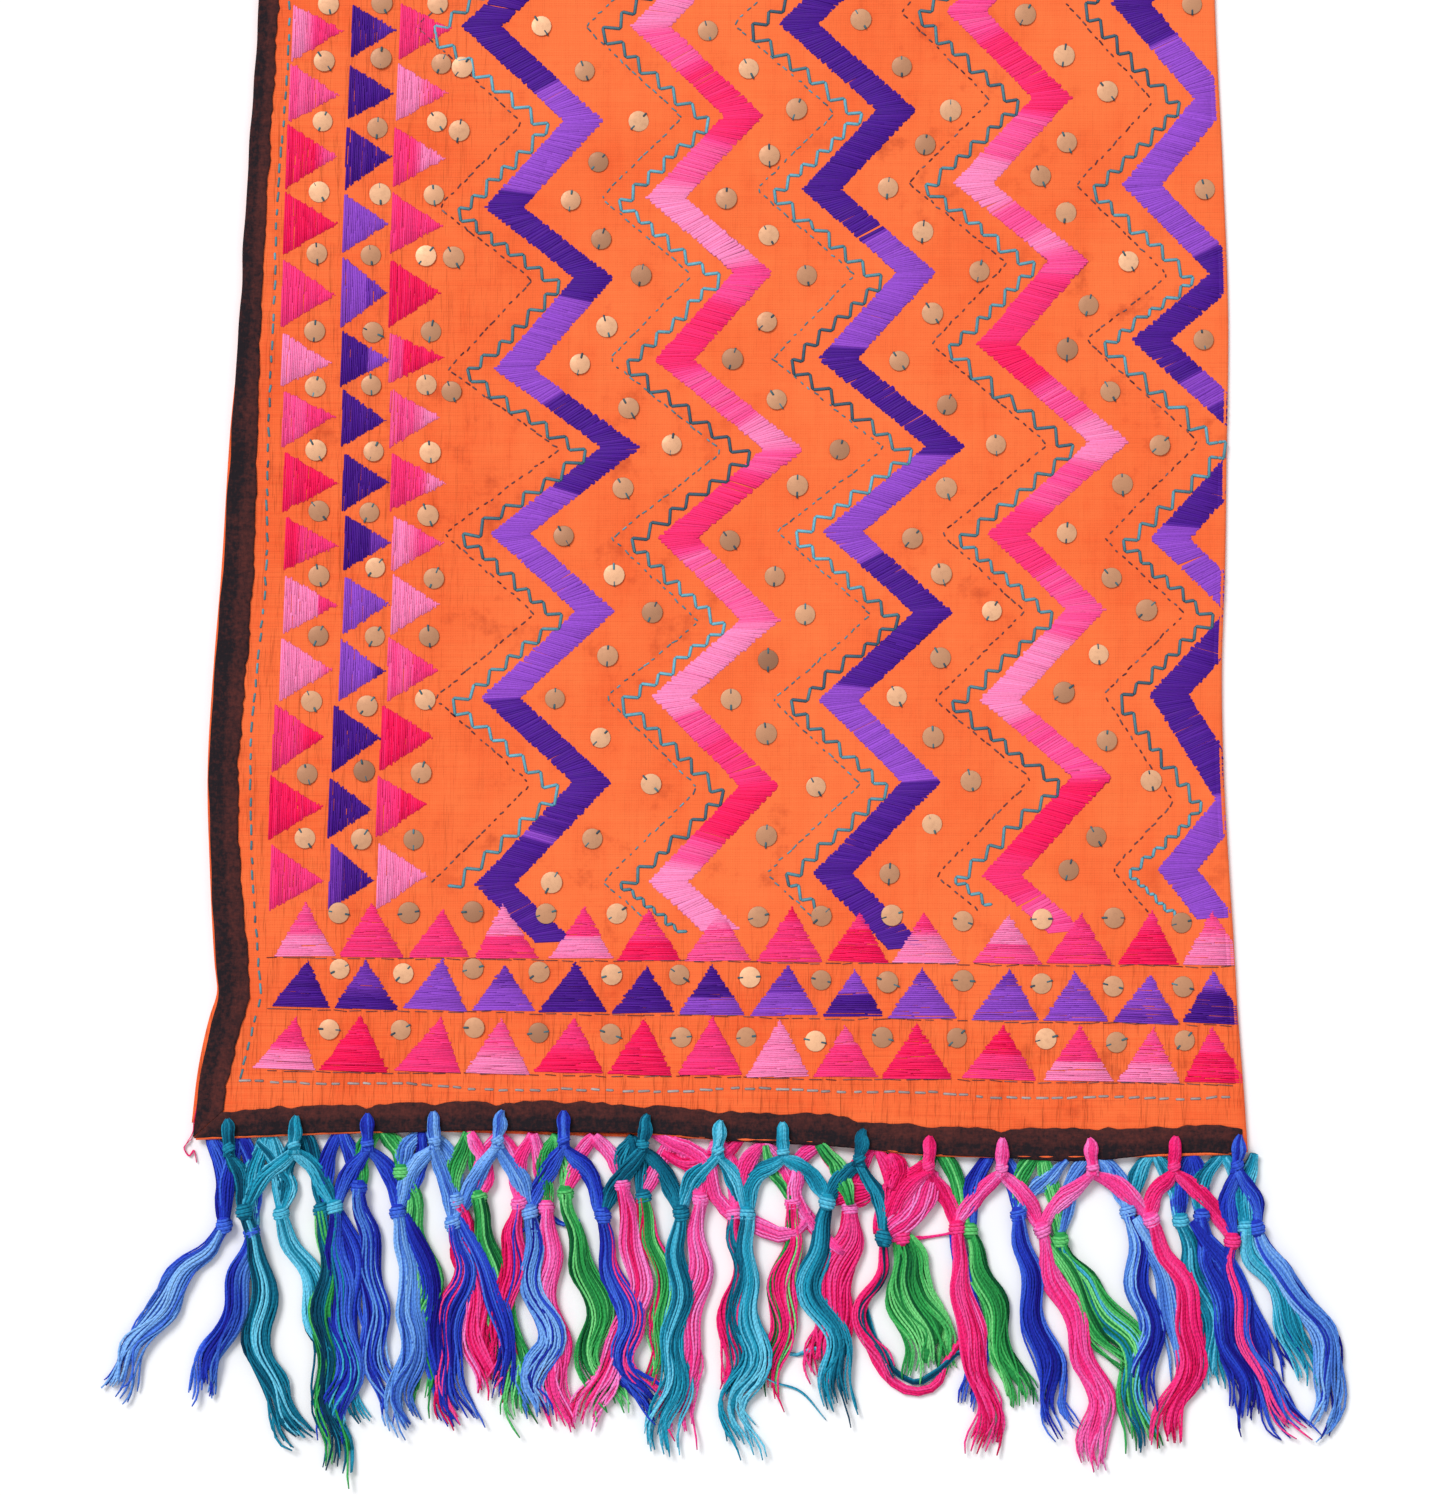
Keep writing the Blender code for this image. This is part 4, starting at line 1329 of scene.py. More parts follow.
@dataclass
class Embroidery:
    """All stitching on the upper layer, as joined meshes of single stitches."""

    form: ClothForm
    floss: bpy.types.Material
    cotton_thread: bpy.types.Material
    metal: bpy.types.Material
    floss_pitch: float = 0.78
    far_pitch: float = 1.5
    fill_pitch: float = 0.85
    far_fill_pitch: float = 2.2
    floss_rise: float = 0.17
    sunk: float = 0.05

    def lay(
        self,
        start: Array,
        end: Array,
        width: Array,
        rise: Array,
        tint: Array,
        tips: float = 1.0,
        shoulder: float = 0.5,
        over: float = 0.0,
    ) -> Part:
        """Stitches between plan points, laid on the cloth, and cut near the fold so that each piece follows
        its bend.

        A long stitch lies over the highest cloth on its way: the bulge is how far the cloth rises over it.

        Args:
            start: (across, along) where each stitch comes up.
            end: (across, along) where each goes down.
            width: thread widths.
            rise: crown heights.
            tint: a colour for each.
            tips: the share of their colour left at their ends, painted shade where the thread dips into the
                cloth.
            shoulder: how far in the full size begins.
            over: extra height over the cloth.

        Returns:
            One part with them all.
        """
        before, after = (side[:, 0] - self.form.edge(side[:, 1], "fold") for side in (start, end))
        step = np.where(np.abs(after - before) > 1e-6, after - before, 1e-6)
        width, rise = (np.broadcast_to(v, len(start)) for v in (width, rise))
        long = np.linalg.norm(end - start, axis=1)
        parts = []
        for low, high in zip(FOLD_CUTS[:-1], FOLD_CUTS[1:]):
            lap = 0.0 if high == FOLD_CUTS[-1] else 0.5
            cuts = np.sort([(low - 0.5 - before) / step, (high + lap - before) / step], axis=0)
            share = np.clip(cuts, 0, 1)
            kept = (share[1] - share[0]) * long > 0.25
            if not kept.any():
                continue
            first, last = ((start + (end - start) * k[:, None])[kept] for k in share)
            ends = [self.form.upper(p[:, 0], p[:, 1], over - self.sunk) for p in (first, last)]
            level = low < -LENGTH
            if level:
                bulge = np.zeros(len(first))
                for k in (0.25, 0.5, 0.75):
                    on_way = self.form.upper(*((1 - k) * first + k * last).T, over - self.sunk)[:, 2]
                    bulge = np.maximum(bulge, on_way - (1 - k) * ends[0][:, 2] - k * ends[1][:, 2])
                for side in ends:
                    side[:, 2] += np.minimum(bulge, 0.7)
            # Painted shade at the ends, only on the stitches that lie away from the fold
            light = tips if level else 1.0
            parts.append(spindles(*ends, width[kept], rise[kept], tint[kept], light, shoulder))
        return joined(parts)

    def lay_runs(self, runs: Sequence[tuple], width: Array, rise: Array, tint: Array) -> Part:
        """Rows of stitches in several runs.

        Args:
            runs: for each run where its stitches come up, where they go down, which rows it has, and its
                tips, the share of colour that painted shade leaves at its ends.
            width: the thread width of each row.
            rise: the crown height of each row.
            tint: the colour of each row.

        Returns:
            One part with them all.
        """
        return joined([self.lay(a[k], b[k], width[k], rise[k], tint[k], tips) for a, b, k, tips in runs])

    def rows_along(self, first: float, last: float, draw: np.random.Generator) -> Array:
        """Thread places, one floss pitch apart in view and wider apart past it.

        Args:
            first: where they begin, along the cloth.
            last: where they end.
            draw: the seeded source of their unevenness.

        Returns:
            Distances along the cloth.
        """
        near = np.arange(first, min(last, VIEW_END), self.floss_pitch)
        far = np.arange(max(first, VIEW_END), last, self.far_pitch)
        rows = np.concatenate([near, far])
        return rows + draw.uniform(-0.14, 0.14, len(rows))

    def spacing(self, start: Array, end: Array) -> Array:
        """How far each float is from the next one, square to itself, at whichever end they are further apart.

        Args:
            start: where each float comes up.
            end: where each goes down.

        Returns:
            Distances, kept near the floss pitch.
        """
        run = end - start
        run = run / np.linalg.norm(run, axis=1, keepdims=True)
        steps = [np.diff(side, axis=0, append=2 * side[-1:] - side[-2:-1]) for side in (start, end)]
        apart = [np.abs(run[:, 0] * step[:, 1] - run[:, 1] * step[:, 0]) for step in steps]
        return np.clip(np.maximum(*apart), 0.8 * self.floss_pitch, 2.4 * self.floss_pitch)

    def band(self, line: Zigzag) -> bpy.types.Object:
        """One zigzag band: a long float of floss for each row, from its left edge to its right edge.

        A row's two ends lie before and after it by half its lean, each on its own edge. The ends are
        ragged, some rows are missing, and some of the looser ones are caught down once on their way.

        Args:
            line: the line that the band follows.

        Returns:
            The piece.
        """
        draw = np.random.default_rng(100 + line.order)
        rows = self.rows_along(line.turns[0], line.turns[-1], draw)
        loose = ease((wander(rows, 90, draw) - 0.5) / 0.8)
        rows = rows[draw.random(len(rows)) > 0.03 * loose]
        offset = line.lean(rows) * BAND_WIDTH / 2 + draw.normal(0, 0.1, len(rows))
        teeth = 0.3 * np.sin(2 * np.pi * rows / 2.3 + wander(rows, 30, draw))
        left = line.left(rows - offset) + draw.normal(0, 0.3, len(rows)) + teeth
        right = line.left(rows + offset) + BAND_WIDTH + draw.normal(0, 0.3, len(rows)) + teeth
        start, end = np.column_stack([left, rows - offset]), np.column_stack([right, rows + offset])
        wide = self.spacing(start, end) * 1.65 * draw.uniform(0.95, 1.1, len(rows))
        depth = line.depth(rows, draw) + draw.normal(0, 0.07, len(rows))
        tint = shade(line.plan.floss, depth) * draw.uniform(0.92, 1.06, (len(rows), 1))
        broken = draw.random(len(rows)) < 0.02 + 0.25 * ease((wander(rows, 60, draw) - 0.5) / 0.6)
        broken &= rows < VIEW_END
        middle = start + (end - start) * draw.uniform(0.25, 0.75, len(rows))[:, None]
        gap = -0.03 * (end - start)
        rise = self.floss_rise * draw.uniform(0.85, 1.15, len(rows))
        halves = ((start, middle - gap, broken, 0.7), (middle + gap, end, broken, 0.7))
        runs = ((start, end, ~broken, 0.8), *halves)
        floats = self.lay_runs(runs, wide, rise, tint)
        return make_piece(f"zigzag_band_{line.order + 1}", floats, self.floss)

    def ladder(self, line: Zigzag) -> Part:
        """The stepped outline left of a band: strokes across and strokes upwards in turn, with ends darkened
        by painted shade.

        Each leg of a line beside the band is cut into equal steps. A step goes across first, sagging a
        little towards the near hem, and then up to the step's far corner.

        Args:
            line: the line that the band follows.

        Returns:
            All strokes as one part.
        """
        draw = np.random.default_rng(200 + line.order)
        right = np.arange(len(line.turns)) % 2 == 0
        places = line.places + np.where(right, -6.8, -12.6)
        heights = line.turns - 0.9 * right
        steps = np.where(line.turns[:-1] < VIEW_END, 6, 5)
        at = np.concatenate([k + np.arange(count) / count for k, count in enumerate(steps)] + [[len(steps)]])
        nodes = np.column_stack([np.interp(at, np.arange(len(places)), side) for side in (places, heights)])
        nodes = nodes[nodes[:, 1] > line.plan.outline_from]
        nodes = nodes + draw.normal(0, 0.4, nodes.shape)
        corners = nodes[:-1] + np.diff(nodes, axis=0) * (0.86, -0.12)
        corners = corners + draw.normal(0, 0.35, corners.shape)
        start, end = np.concatenate([nodes[:-1], corners]), np.concatenate([corners, nodes[1:]])
        change = (-0.9 if line.order < 2 else 0.9) * wander(start[:, 1], 170, draw)
        tint = shade(STITCH, 1.05 + change + draw.normal(0, 0.2, len(start)))
        reach = 0.05 * (end - start)
        return self.lay(start - reach, end + reach, 1.75, 0.7, tint, 0.5, shoulder=1.0)

    def running(self, line: Zigzag) -> Part:
        """The fine running stitch further left: short dashes along a line beside the band."""
        at = np.arange(line.plan.dashes_from, line.turns[-1], 2.0)
        across = line.beside(at, -21.5, -19.5, 1.0)
        return self.dashes(across, at, 2.9, 1.3, 300 + line.order, line.plan.beside, 0.9)

    def dashes(
        self,
        across: Array,
        along: Array,
        dash: float,
        gap: float,
        seed: int,
        dye: Dye = STITCH,
        width: float = 1.15,
    ) -> Part:
        """A running stitch along a line of plan points, with dashes of uneven length that stray a little.

        Args:
            across: the line's places across the cloth.
            along: its places along it.
            dash: the length of a dash.
            gap: the length between two.
            seed: the seed of their unevenness.
            dye: the thread.
            width: its width.

        Returns:
            All dashes as one part.
        """
        draw = np.random.default_rng(seed)
        line = np.column_stack([across, along])
        run = run_of(line)
        first = np.arange(0, run[-1] - dash, dash + gap)
        first = first + draw.uniform(-0.5, 0.5, len(first))
        last = first + dash * draw.uniform(0.75, 1.2, len(first))
        start, end = (np.column_stack([np.interp(at, run, side) for side in line.T]) for at in (first, last))
        start, end = start + draw.normal(0, 0.25, start.shape), end + draw.normal(0, 0.25, end.shape)
        tint = shade(dye, 1.0 + draw.normal(0, 0.35, len(start)))
        return self.lay(start, end, width, 0.55, tint, 0.7)

    def hem_stitching(self) -> bpy.types.Object:
        """The running stitch inside the tape, down the open edge and along both hems."""
        along = np.arange(27, LENGTH - 26, 4.0)
        inside = self.form.inside_tape(along) + 5.4
        across = np.arange(EDGES[0].open_edge + 21, 497, 4.0)
        sway = 1.0 * np.sin(across / 37) + 0.6 * np.sin(across / 13)
        lines = [self.dashes(inside + 0.5 * np.sin(along / 19), along, 4.8, 2.2, 61, STITCH, 1.3)]
        near = self.on_hem(np.column_stack([across, 27.4 - across / 65 + sway]), False)[:, 1]
        lines.append(self.dashes(across, near, 5.6, 1.7, 62, GREY, 1.35))
        lines.append(self.dashes(across, LENGTH - 25.5 - sway, 4.8, 2.2, 63, GREY, 1.35))
        return make_piece("hem_stitching", joined(lines), self.cotton_thread)

    def triangle(
        self,
        base: Array,
        side: Array,
        tip: Array,
        dye: Dye,
        fill: Fill,
        draw: np.random.Generator,
        pitch: float,
    ) -> Part:
        """One filled triangle: floats parallel to its base, each shorter than the last.

        A float at share s runs from base + s * (tip - base) to side + s * (tip - side). Its ends are
        ragged. A long float is caught down where it passes over the middle, and both its halves stray a
        little from the row, so that slits open between rows.

        Args:
            base: one end of the base, on the plan.
            side: the other end.
            tip: the point opposite.
            dye: the floss.
            fill: its depths at base and tip.
            draw: the seeded source of its unevenness.
            pitch: distance between floats.

        Returns:
            The floats as one part.
        """
        reach = float(np.linalg.norm(tip - (base + side) / 2))
        rows = (np.arange(pitch * 0.3, reach - pitch * 0.2, pitch) / reach)[:, None]
        run = (side - base) / np.linalg.norm(side - base)
        ahead = np.array([-run[1], run[0]])
        count = len(rows)
        start = base + rows * (tip - base) + run * draw.normal(0, 0.35, (count, 1))
        end = side + rows * (tip - side) + run * draw.normal(0, 0.35, (count, 1))
        change, soft = draw.uniform(0.2, 0.65), draw.choice([0.06, 0.3])
        depths = fill.base + (fill.tip - fill.base) * ease((rows[:, 0] - change) / soft)
        depths = depths + draw.normal(0, 0.09, count)
        tint = shade(dye, depths) * draw.uniform(0.86, 1.06, (count, 1))
        length = np.linalg.norm(end - start, axis=1)
        split = (length > 8) & (draw.random(count) < 0.55)
        middle = start + (end - start) * draw.uniform(0.25, 0.75, (count, 1))
        wide, rise = pitch * draw.uniform(1.2, 1.5, count), draw.uniform(0.34, 0.48, count)
        runs = [(start, end, ~split, 0.6)]
        if split.any():
            shift = ahead * draw.normal(0, 0.2, (count, 1)) * pitch
            runs.append((start + shift * 0.5, middle + shift + run, split, 0.55))
            runs.append((middle - shift - run, end - shift * 0.5, split, 0.55))
        return self.lay_runs(runs, wide, rise, tint)

    def base_line(self, along: float) -> float:
        """Where the first column of triangles stands: inside the tape, by a margin that narrows past the
        corner.
        """
        at = np.array(along)
        return float(self.form.inside_tape(at) + read(MARGINS, at, "width"))

    def open_columns(self) -> tuple[list[Part], list[Array]]:
        """Three columns of triangles that point at the fold.

        Returns:
            The triangles, and the plan places of the sequins beside them.
        """
        draw = np.random.default_rng(71)
        parts, spots = [], []
        for column in COLUMNS:
            edges = list(OPEN_EDGES)
            while edges[-1] + 31 < LENGTH - 106:
                edges.append(edges[-1] + draw.uniform(29.5, 32))
            for k, (edge, after) in enumerate(zip(edges[:-1], edges[1:])):
                low, top = edge + draw.uniform(0, 1.4), after - draw.uniform(0.2, 1.6)
                middle = (low + top) / 2 + draw.normal(0, 0.8)
                foot = self.base_line(middle) + column.inset
                tip = foot + (column.reach + draw.normal(0, 0.8))
                corners = np.array([(foot - 0.5, low), (foot + 0.6, top), (tip, middle)])
                fills = column.fills
                fill = fills[k] if k < len(fills) else fills[int(draw.integers(len(fills)))]
                pitch = self.fill_pitch if edge < VIEW_END else self.far_fill_pitch
                parts.append(self.triangle(*corners, column.floss, fill, draw, pitch))
                if k:
                    aside = column.sequin + draw.normal(0, 0.9)
                    spots.append(np.array([foot + aside, edge + draw.normal(0, 1.2)]))
                if k in column.outer:
                    spots.append(np.array([foot + 29.5, edge + draw.uniform(-4, 4)]))
        return parts, spots

    def hem_rows(self, far: bool) -> tuple[list[Part], list[Array]]:
        """Three rows of triangles that point away from a hem.

        Args:
            far: whether it is the far hem.

        Returns:
            The triangles, and the plan places of their sequins.
        """
        draw = np.random.default_rng(81 + far)
        parts, spots = [], []
        for row in HEM_ROWS:
            tips = np.array(row.tips)
            middles = (tips[1:] + tips[:-1]) / 2
            edges = middles - 0.8 - row.lean * (1 - ease(middles / 320))
            edges = np.concatenate([[tips[0] - 16 - row.lean], edges, [tips[-1] + 17.5]])
            for k, (tip, fill) in enumerate(zip(tips, row.fills)):
                left = max(edges[k] + draw.uniform(0.3, 1.3), tip - 17 - row.lean)
                right = min(edges[k + 1] - draw.uniform(0.3, 1.3), tip + 17)
                places = np.array([(left, 0.0), (right, 0.0), (tip, row.reach)])
                places[:, 1] += row.line(places[:, 0]) + draw.normal(0, (0.4, 0.4, 1.0))
                pitch = self.far_fill_pitch if far else self.fill_pitch
                parts.append(self.triangle(*self.on_hem(places, far), row.floss, fill, draw, pitch))
            spot = np.column_stack([middles, row.line(middles) + row.reach * row.sequin])
            spot += draw.normal(0, 0.9, spot.shape)
            spots += list(self.on_hem(spot, far)[np.arange(len(middles)) != row.bare])
        return parts, spots

    def on_hem(self, places: Array, far: bool) -> Array:
        """Plan places that end up at these distances from a hem's straight line, once the hem strays.

        The near hem's stray is taken off again in three rounds, each by what the last one left.

        Args:
            places: (across, distance from the hem) pairs.
            far: whether it is the far hem.

        Returns:
            (across, along) pairs.
        """
        if far:
            return np.column_stack([places[:, 0], LENGTH - places[:, 1]])
        stray, along = self.form.near_hem(places[:, 0]), places[:, 1]
        for _ in range(3):
            along = along + places[:, 1] - self.form.strayed(along, stray, 0.0)
        return np.column_stack([places[:, 0], along])

    def guide_lines(self) -> Part:
        """The thin dark line of thread under each row of triangles at the near hem."""
        across = np.arange(34, 497, 5.0)
        parts = []
        for k, row in enumerate(HEM_ROWS):
            line = np.column_stack([across, row.line(across) - 0.9 + 0.3 * np.sin(across / 17)])
            parts.append(self.dashes(across, self.on_hem(line, False)[:, 1], 7.0, 0.8, 400 + k, DUSK, 0.45))
        return joined(parts)

    def sequin_places(self, lines: Sequence[Zigzag]) -> Array:
        """Plan places of the sequins between bands: at each turn and half way, a set distance right of the
        band.

        Args:
            lines: the lines of all bands.

        Returns:
            (across, along) pairs.
        """
        draw = np.random.default_rng(91)
        found = []
        for line in lines:
            halves = (line.turns[1:] + line.turns[:-1]) / 2
            along = np.sort(np.concatenate([line.turns[1:], halves]))
            along = along + draw.normal(0, 1.8, len(along))
            across = line.left(along) + BAND_WIDTH + 17.5 + draw.normal(0, 1.8, len(along))
            keep = along > 119
            found.append(np.column_stack([across, along])[keep])
        return np.concatenate(found)

    def sequins(self, places: Array) -> list[bpy.types.Object]:
        """Thin, slightly domed discs with two stitches each.

        A disc is a middle point and three rings: inside its upper edge, its rim, and under it, closed by
        one face. It tilts by a small seeded angle.

        Args:
            places: (across, along) pairs. Those past the fold are left out.

        Returns:
            The discs and their stitches.
        """
        draw = np.random.default_rng(92)
        fold = self.form.edge(places[:, 1], "fold")
        places = places[(places[:, 0] < fold - 4.0) & (places[:, 1] > 20)]
        count, sides, radius = len(places), 18, 5.0
        middle = self.form.upper(places[:, 0], places[:, 1])
        angle = 2 * np.pi * np.arange(sides) / sides
        round_ = np.column_stack([np.cos(angle), np.sin(angle)])
        slope = draw.normal(0, 0.035, (count, 2))
        size = radius * draw.uniform(0.96, 1.04, count)
        rings = []
        for share, rise in ((0.95, 0.3), (1.0, 0.22), (0.96, 0.12)):
            plan = round_[None] * size[:, None, None] * share
            height = (plan * slope[:, None]).sum(-1) + rise + 0.3
            rings.append(np.concatenate([plan, height[..., None]], -1))
        top = np.tile([[[0.0, 0.0, 0.72]]], (count, 1, 1))
        points = np.concatenate([top, *rings], axis=1) + middle[:, None]
        ring = np.arange(sides)
        fan = np.stack([np.zeros(sides, int), 1 + ring, 1 + (ring + 1) % sides], -1)
        quads = 1 + grid_faces(3, sides, wrap=True)[:, ::-1]
        under = (1 + 2 * sides + ring[::-1])[None]
        bases = (np.arange(count) * (1 + 3 * sides))[:, None, None]
        faces = tuple((block[None] + bases).reshape(-1, block.shape[1]) for block in (fan, quads, under))
        depth = np.clip(draw.normal(1.15, 0.4, count), 0.4, 2)
        depth = np.where(draw.random(count) < 0.18, draw.uniform(0, 0.5, count), depth)
        tints = np.repeat(shade(COPPER, depth), 1 + 3 * sides, axis=0)
        discs = make_piece("sequins", Part(points.reshape(-1, 3), faces, tints), self.metal)
        across_hem = (places[:, 1] < 112) | (places[:, 1] > LENGTH - 112)
        way = np.where(across_hem, 0.0, np.pi / 2) + draw.normal(0, 0.4, count)
        heading = np.column_stack([np.cos(way), np.sin(way)])
        stitches = []
        for sign in (-1, 1):
            inner = places + sign * heading * (size * draw.uniform(0.45, 0.62, count))[:, None]
            outer = places + sign * heading * (size * draw.uniform(0.98, 1.2, count))[:, None]
            tint = shade(STITCH, 1.5 + draw.normal(0, 0.4, count)) * 0.75
            stitches.append(self.lay(inner, outer, 1.0, 0.5, tint, shoulder=0.3, over=0.62))
        threads = make_piece("sequin_stitches", joined(stitches), self.cotton_thread)
        return [discs, threads]

    def build(self) -> list[bpy.types.Object]:
        """Makes all of the embroidery and returns its pieces."""
        lines = [Zigzag(order, plan) for order, plan in enumerate(BANDS)]
        pieces = [self.band(line) for line in lines]
        outlines = joined([self.ladder(line) for line in lines])
        pieces.append(make_piece("stepped_outlines", outlines, self.cotton_thread))
        running = joined([self.running(line) for line in lines] + [self.guide_lines()])
        pieces.append(make_piece("running_stitches", running, self.cotton_thread))
        column_parts, spots = self.open_columns()
        pieces.append(make_piece("triangles_open_edge", joined(column_parts), self.floss))
        for far in (False, True):
            name = "triangles_far_hem" if far else "triangles_near_hem"
            row_parts, row_spots = self.hem_rows(far)
            pieces.append(make_piece(name, joined(row_parts), self.floss))
            spots = spots + row_spots
        pieces.append(self.hem_stitching())
        return pieces + self.sequins(np.concatenate([np.array(spots), self.sequin_places(lines)]))


# Fringe
class Lock(NamedTuple):
    """One step of a fringe: a knot with its yarn and its tassel, and the root to its left.

    The tassel's way is a list of (across, drop) places, with drops measured outwards from the hem, and wide
    scales its width. In the under layer a lock has no root of its own, because those roots lie midway
    between knots.
    """

    knot: float
    knot_drop: float
    yarn: Dye
    tassel: Dye
    second: Dye
    way: tuple[tuple[float, float], ...]
    wide: float = 1.0
    root: Optional[float] = None


NEAR_UPPER = (
    Lock(23.8, 36, DEEP_TEAL, DEEP_TEAL, TEAL, ((31.8, 59), (31.8, 92), (36.6, 125), (52.3, 147)), root=16.6),
    Lock(66.5, 36, TEAL, ROYAL, TEAL, ((67.9, 75), (71.3, 104), (64.1, 146)), root=47.5),
    Lock(96.4, 39, ROYAL, SKY, SKY, ((99.8, 66), (104.5, 94), (99.8, 122), (103, 143)), root=82.2),
    Lock(122.6, 45, SKY, ROYAL, CRIMSON, ((126.8, 75), (120.2, 104), (128.3, 142)), root=114.0),
    Lock(159.1, 40, SKY, SKY, ROYAL, ((161.5, 80), (167.7, 104), (159.1, 125), (162, 138)), root=143.9),
    Lock(193.8, 41, ROYAL, ROYAL, CRIMSON, ((200.9, 75), (206, 94), (206, 112), (222, 134)), root=175.3),
    Lock(230.9, 37, DEEP_TEAL, TEAL, TEAL, ((229, 80), (227, 113), (222.3, 152)), root=212.8),
    Lock(262.2, 36, TEAL, TEAL, TEAL, ((261.3, 77), (266, 100), (258, 124), (259.8, 146)), root=248.4),
    Lock(300.2, 28, TEAL, DEEP_TEAL, TEAL, ((293, 69), (304, 95), (305.4, 128)), root=279.3),
    Lock(326.8, 42, DEEP_TEAL, CRIMSON, DEEP_TEAL, ((323, 60), (318, 84), (324, 100),
         (332, 108)), 0.55, root=315.4),
    Lock(362.0, 35, CRIMSON, CRIMSON, PINK, ((368, 70), (367, 89), (375, 108), (373, 141)), root=348.2),
    Lock(402.3, 35, PINK, PINK, CRIMSON, ((410.9, 65), (422.8, 93), (429, 117), (427.5, 150)), root=382.9),
    Lock(454.1, 31, PINK, CRIMSON, CRIMSON, ((470.3, 65), (475, 89), (465.5, 118), (460.8, 137)), root=426.0),
    Lock(492.5, 42, CRIMSON, ROYAL, CRIMSON, ((491, 60), (498, 85), (508.3, 108), (526, 134)), root=464.6),
    Lock(504.0, 36, ROYAL, SKY, ROYAL, ((510.6, 51), (527.3, 70), (536.8, 94), (538, 118),
         (532, 130)), root=494.6),
)


NEAR_UNDER = (
    Lock(14, 42, ROYAL, SKY, ROYAL, ((-9.5, 72), (-28, 100), (-41, 122))),
    Lock(27, 46, ROYAL, ROYAL, SKY, ((20, 74), (12, 98), (2, 122))),
    Lock(41, 38, TEAL, TEAL, DEEP_TEAL, ((50, 62), (59, 86), (68, 112), (76, 138))),
    Lock(60, 37, DEEP_TEAL, DEEP_TEAL, GREEN, ((62, 70), (62, 98), (65, 132), (67, 162))),
    Lock(78, 27, ROYAL, ROYAL, SKY, ((82, 60), (84, 98), (90, 134))),
    Lock(98, 20, GREEN, GREEN, GREEN, ((106, 50), (111, 80), (109, 104), (112, 130))),
    Lock(124, 34, SKY, CRIMSON, PINK, ((131, 66), (136, 96), (140, 126))),
    Lock(135, 33, GREEN, GREEN, GREEN, ((141, 64), (147, 92), (151, 118), (156, 142))),
    Lock(154, 36, PINK, CRIMSON, ROYAL, ((150, 64), (146, 90), (141, 118))),
    Lock(167, 38, PINK, PINK, PINK, ((168, 76), (171, 112), (174, 142))),
    Lock(176, 31, GREEN, GREEN, GREEN, ((184, 60), (191, 88), (189, 112), (199, 134))),
    Lock(203, 26, PINK, PINK, CRIMSON, ((209, 58), (208, 88), (194, 116), (184, 142))),
    Lock(213, 31, DEEP_TEAL, GREEN, CRIMSON, ((222, 62), (224, 88), (217, 120))),
    Lock(240, 30, PINK, PINK, PINK, ((238, 62), (233, 100), (231, 142))),
    Lock(256, 36, PINK, CRIMSON, DEEP_TEAL, ((258, 66), (254, 94), (257, 122))),
    Lock(284, 30, PINK, CRIMSON, GREEN, ((282, 60), (276, 90), (270, 122))),
    Lock(311, 30, PINK, CRIMSON, CRIMSON, ((308, 52), (303, 78), (302, 100), (301, 114)), 1.35),
    Lock(336, 41, CRIMSON, GREEN, GREEN, ((341, 60), (343, 76), (347, 92), (350, 104)), 1.9),
    Lock(368, 36, GREEN, GREEN, GREEN, ((376, 62), (384, 92), (394, 122))),
    Lock(391, 28, ROYAL, ROYAL, ROYAL, ((396, 60), (403, 92), (413, 130))),
    Lock(411, 40, GREEN, GREEN, TEAL, ((425, 62), (442, 86), (446, 112), (450, 142))),
    Lock(443, 27, SKY, ROYAL, SKY, ((449, 60), (453, 88), (450, 122))),
    Lock(468, 32, TEAL, TEAL, DEEP_TEAL, ((476, 58), (484, 84), (486, 112))),
    Lock(478, 30, ROYAL, ROYAL, ROYAL, ((486, 62), (492, 92), (497, 128))),
    Lock(499, 36, TEAL, TEAL, ROYAL, ((509, 58), (520, 82), (526, 110))),
)


class Tangle(NamedTuple):
    """A loop or a length of yarn among the tassels: its way in (across, drop) places, and whether it ends
    loose.
    """

    way: tuple[tuple[float, float], ...]
    dye: Dye
    width: float
    yarns: int
    loose_end: bool = False


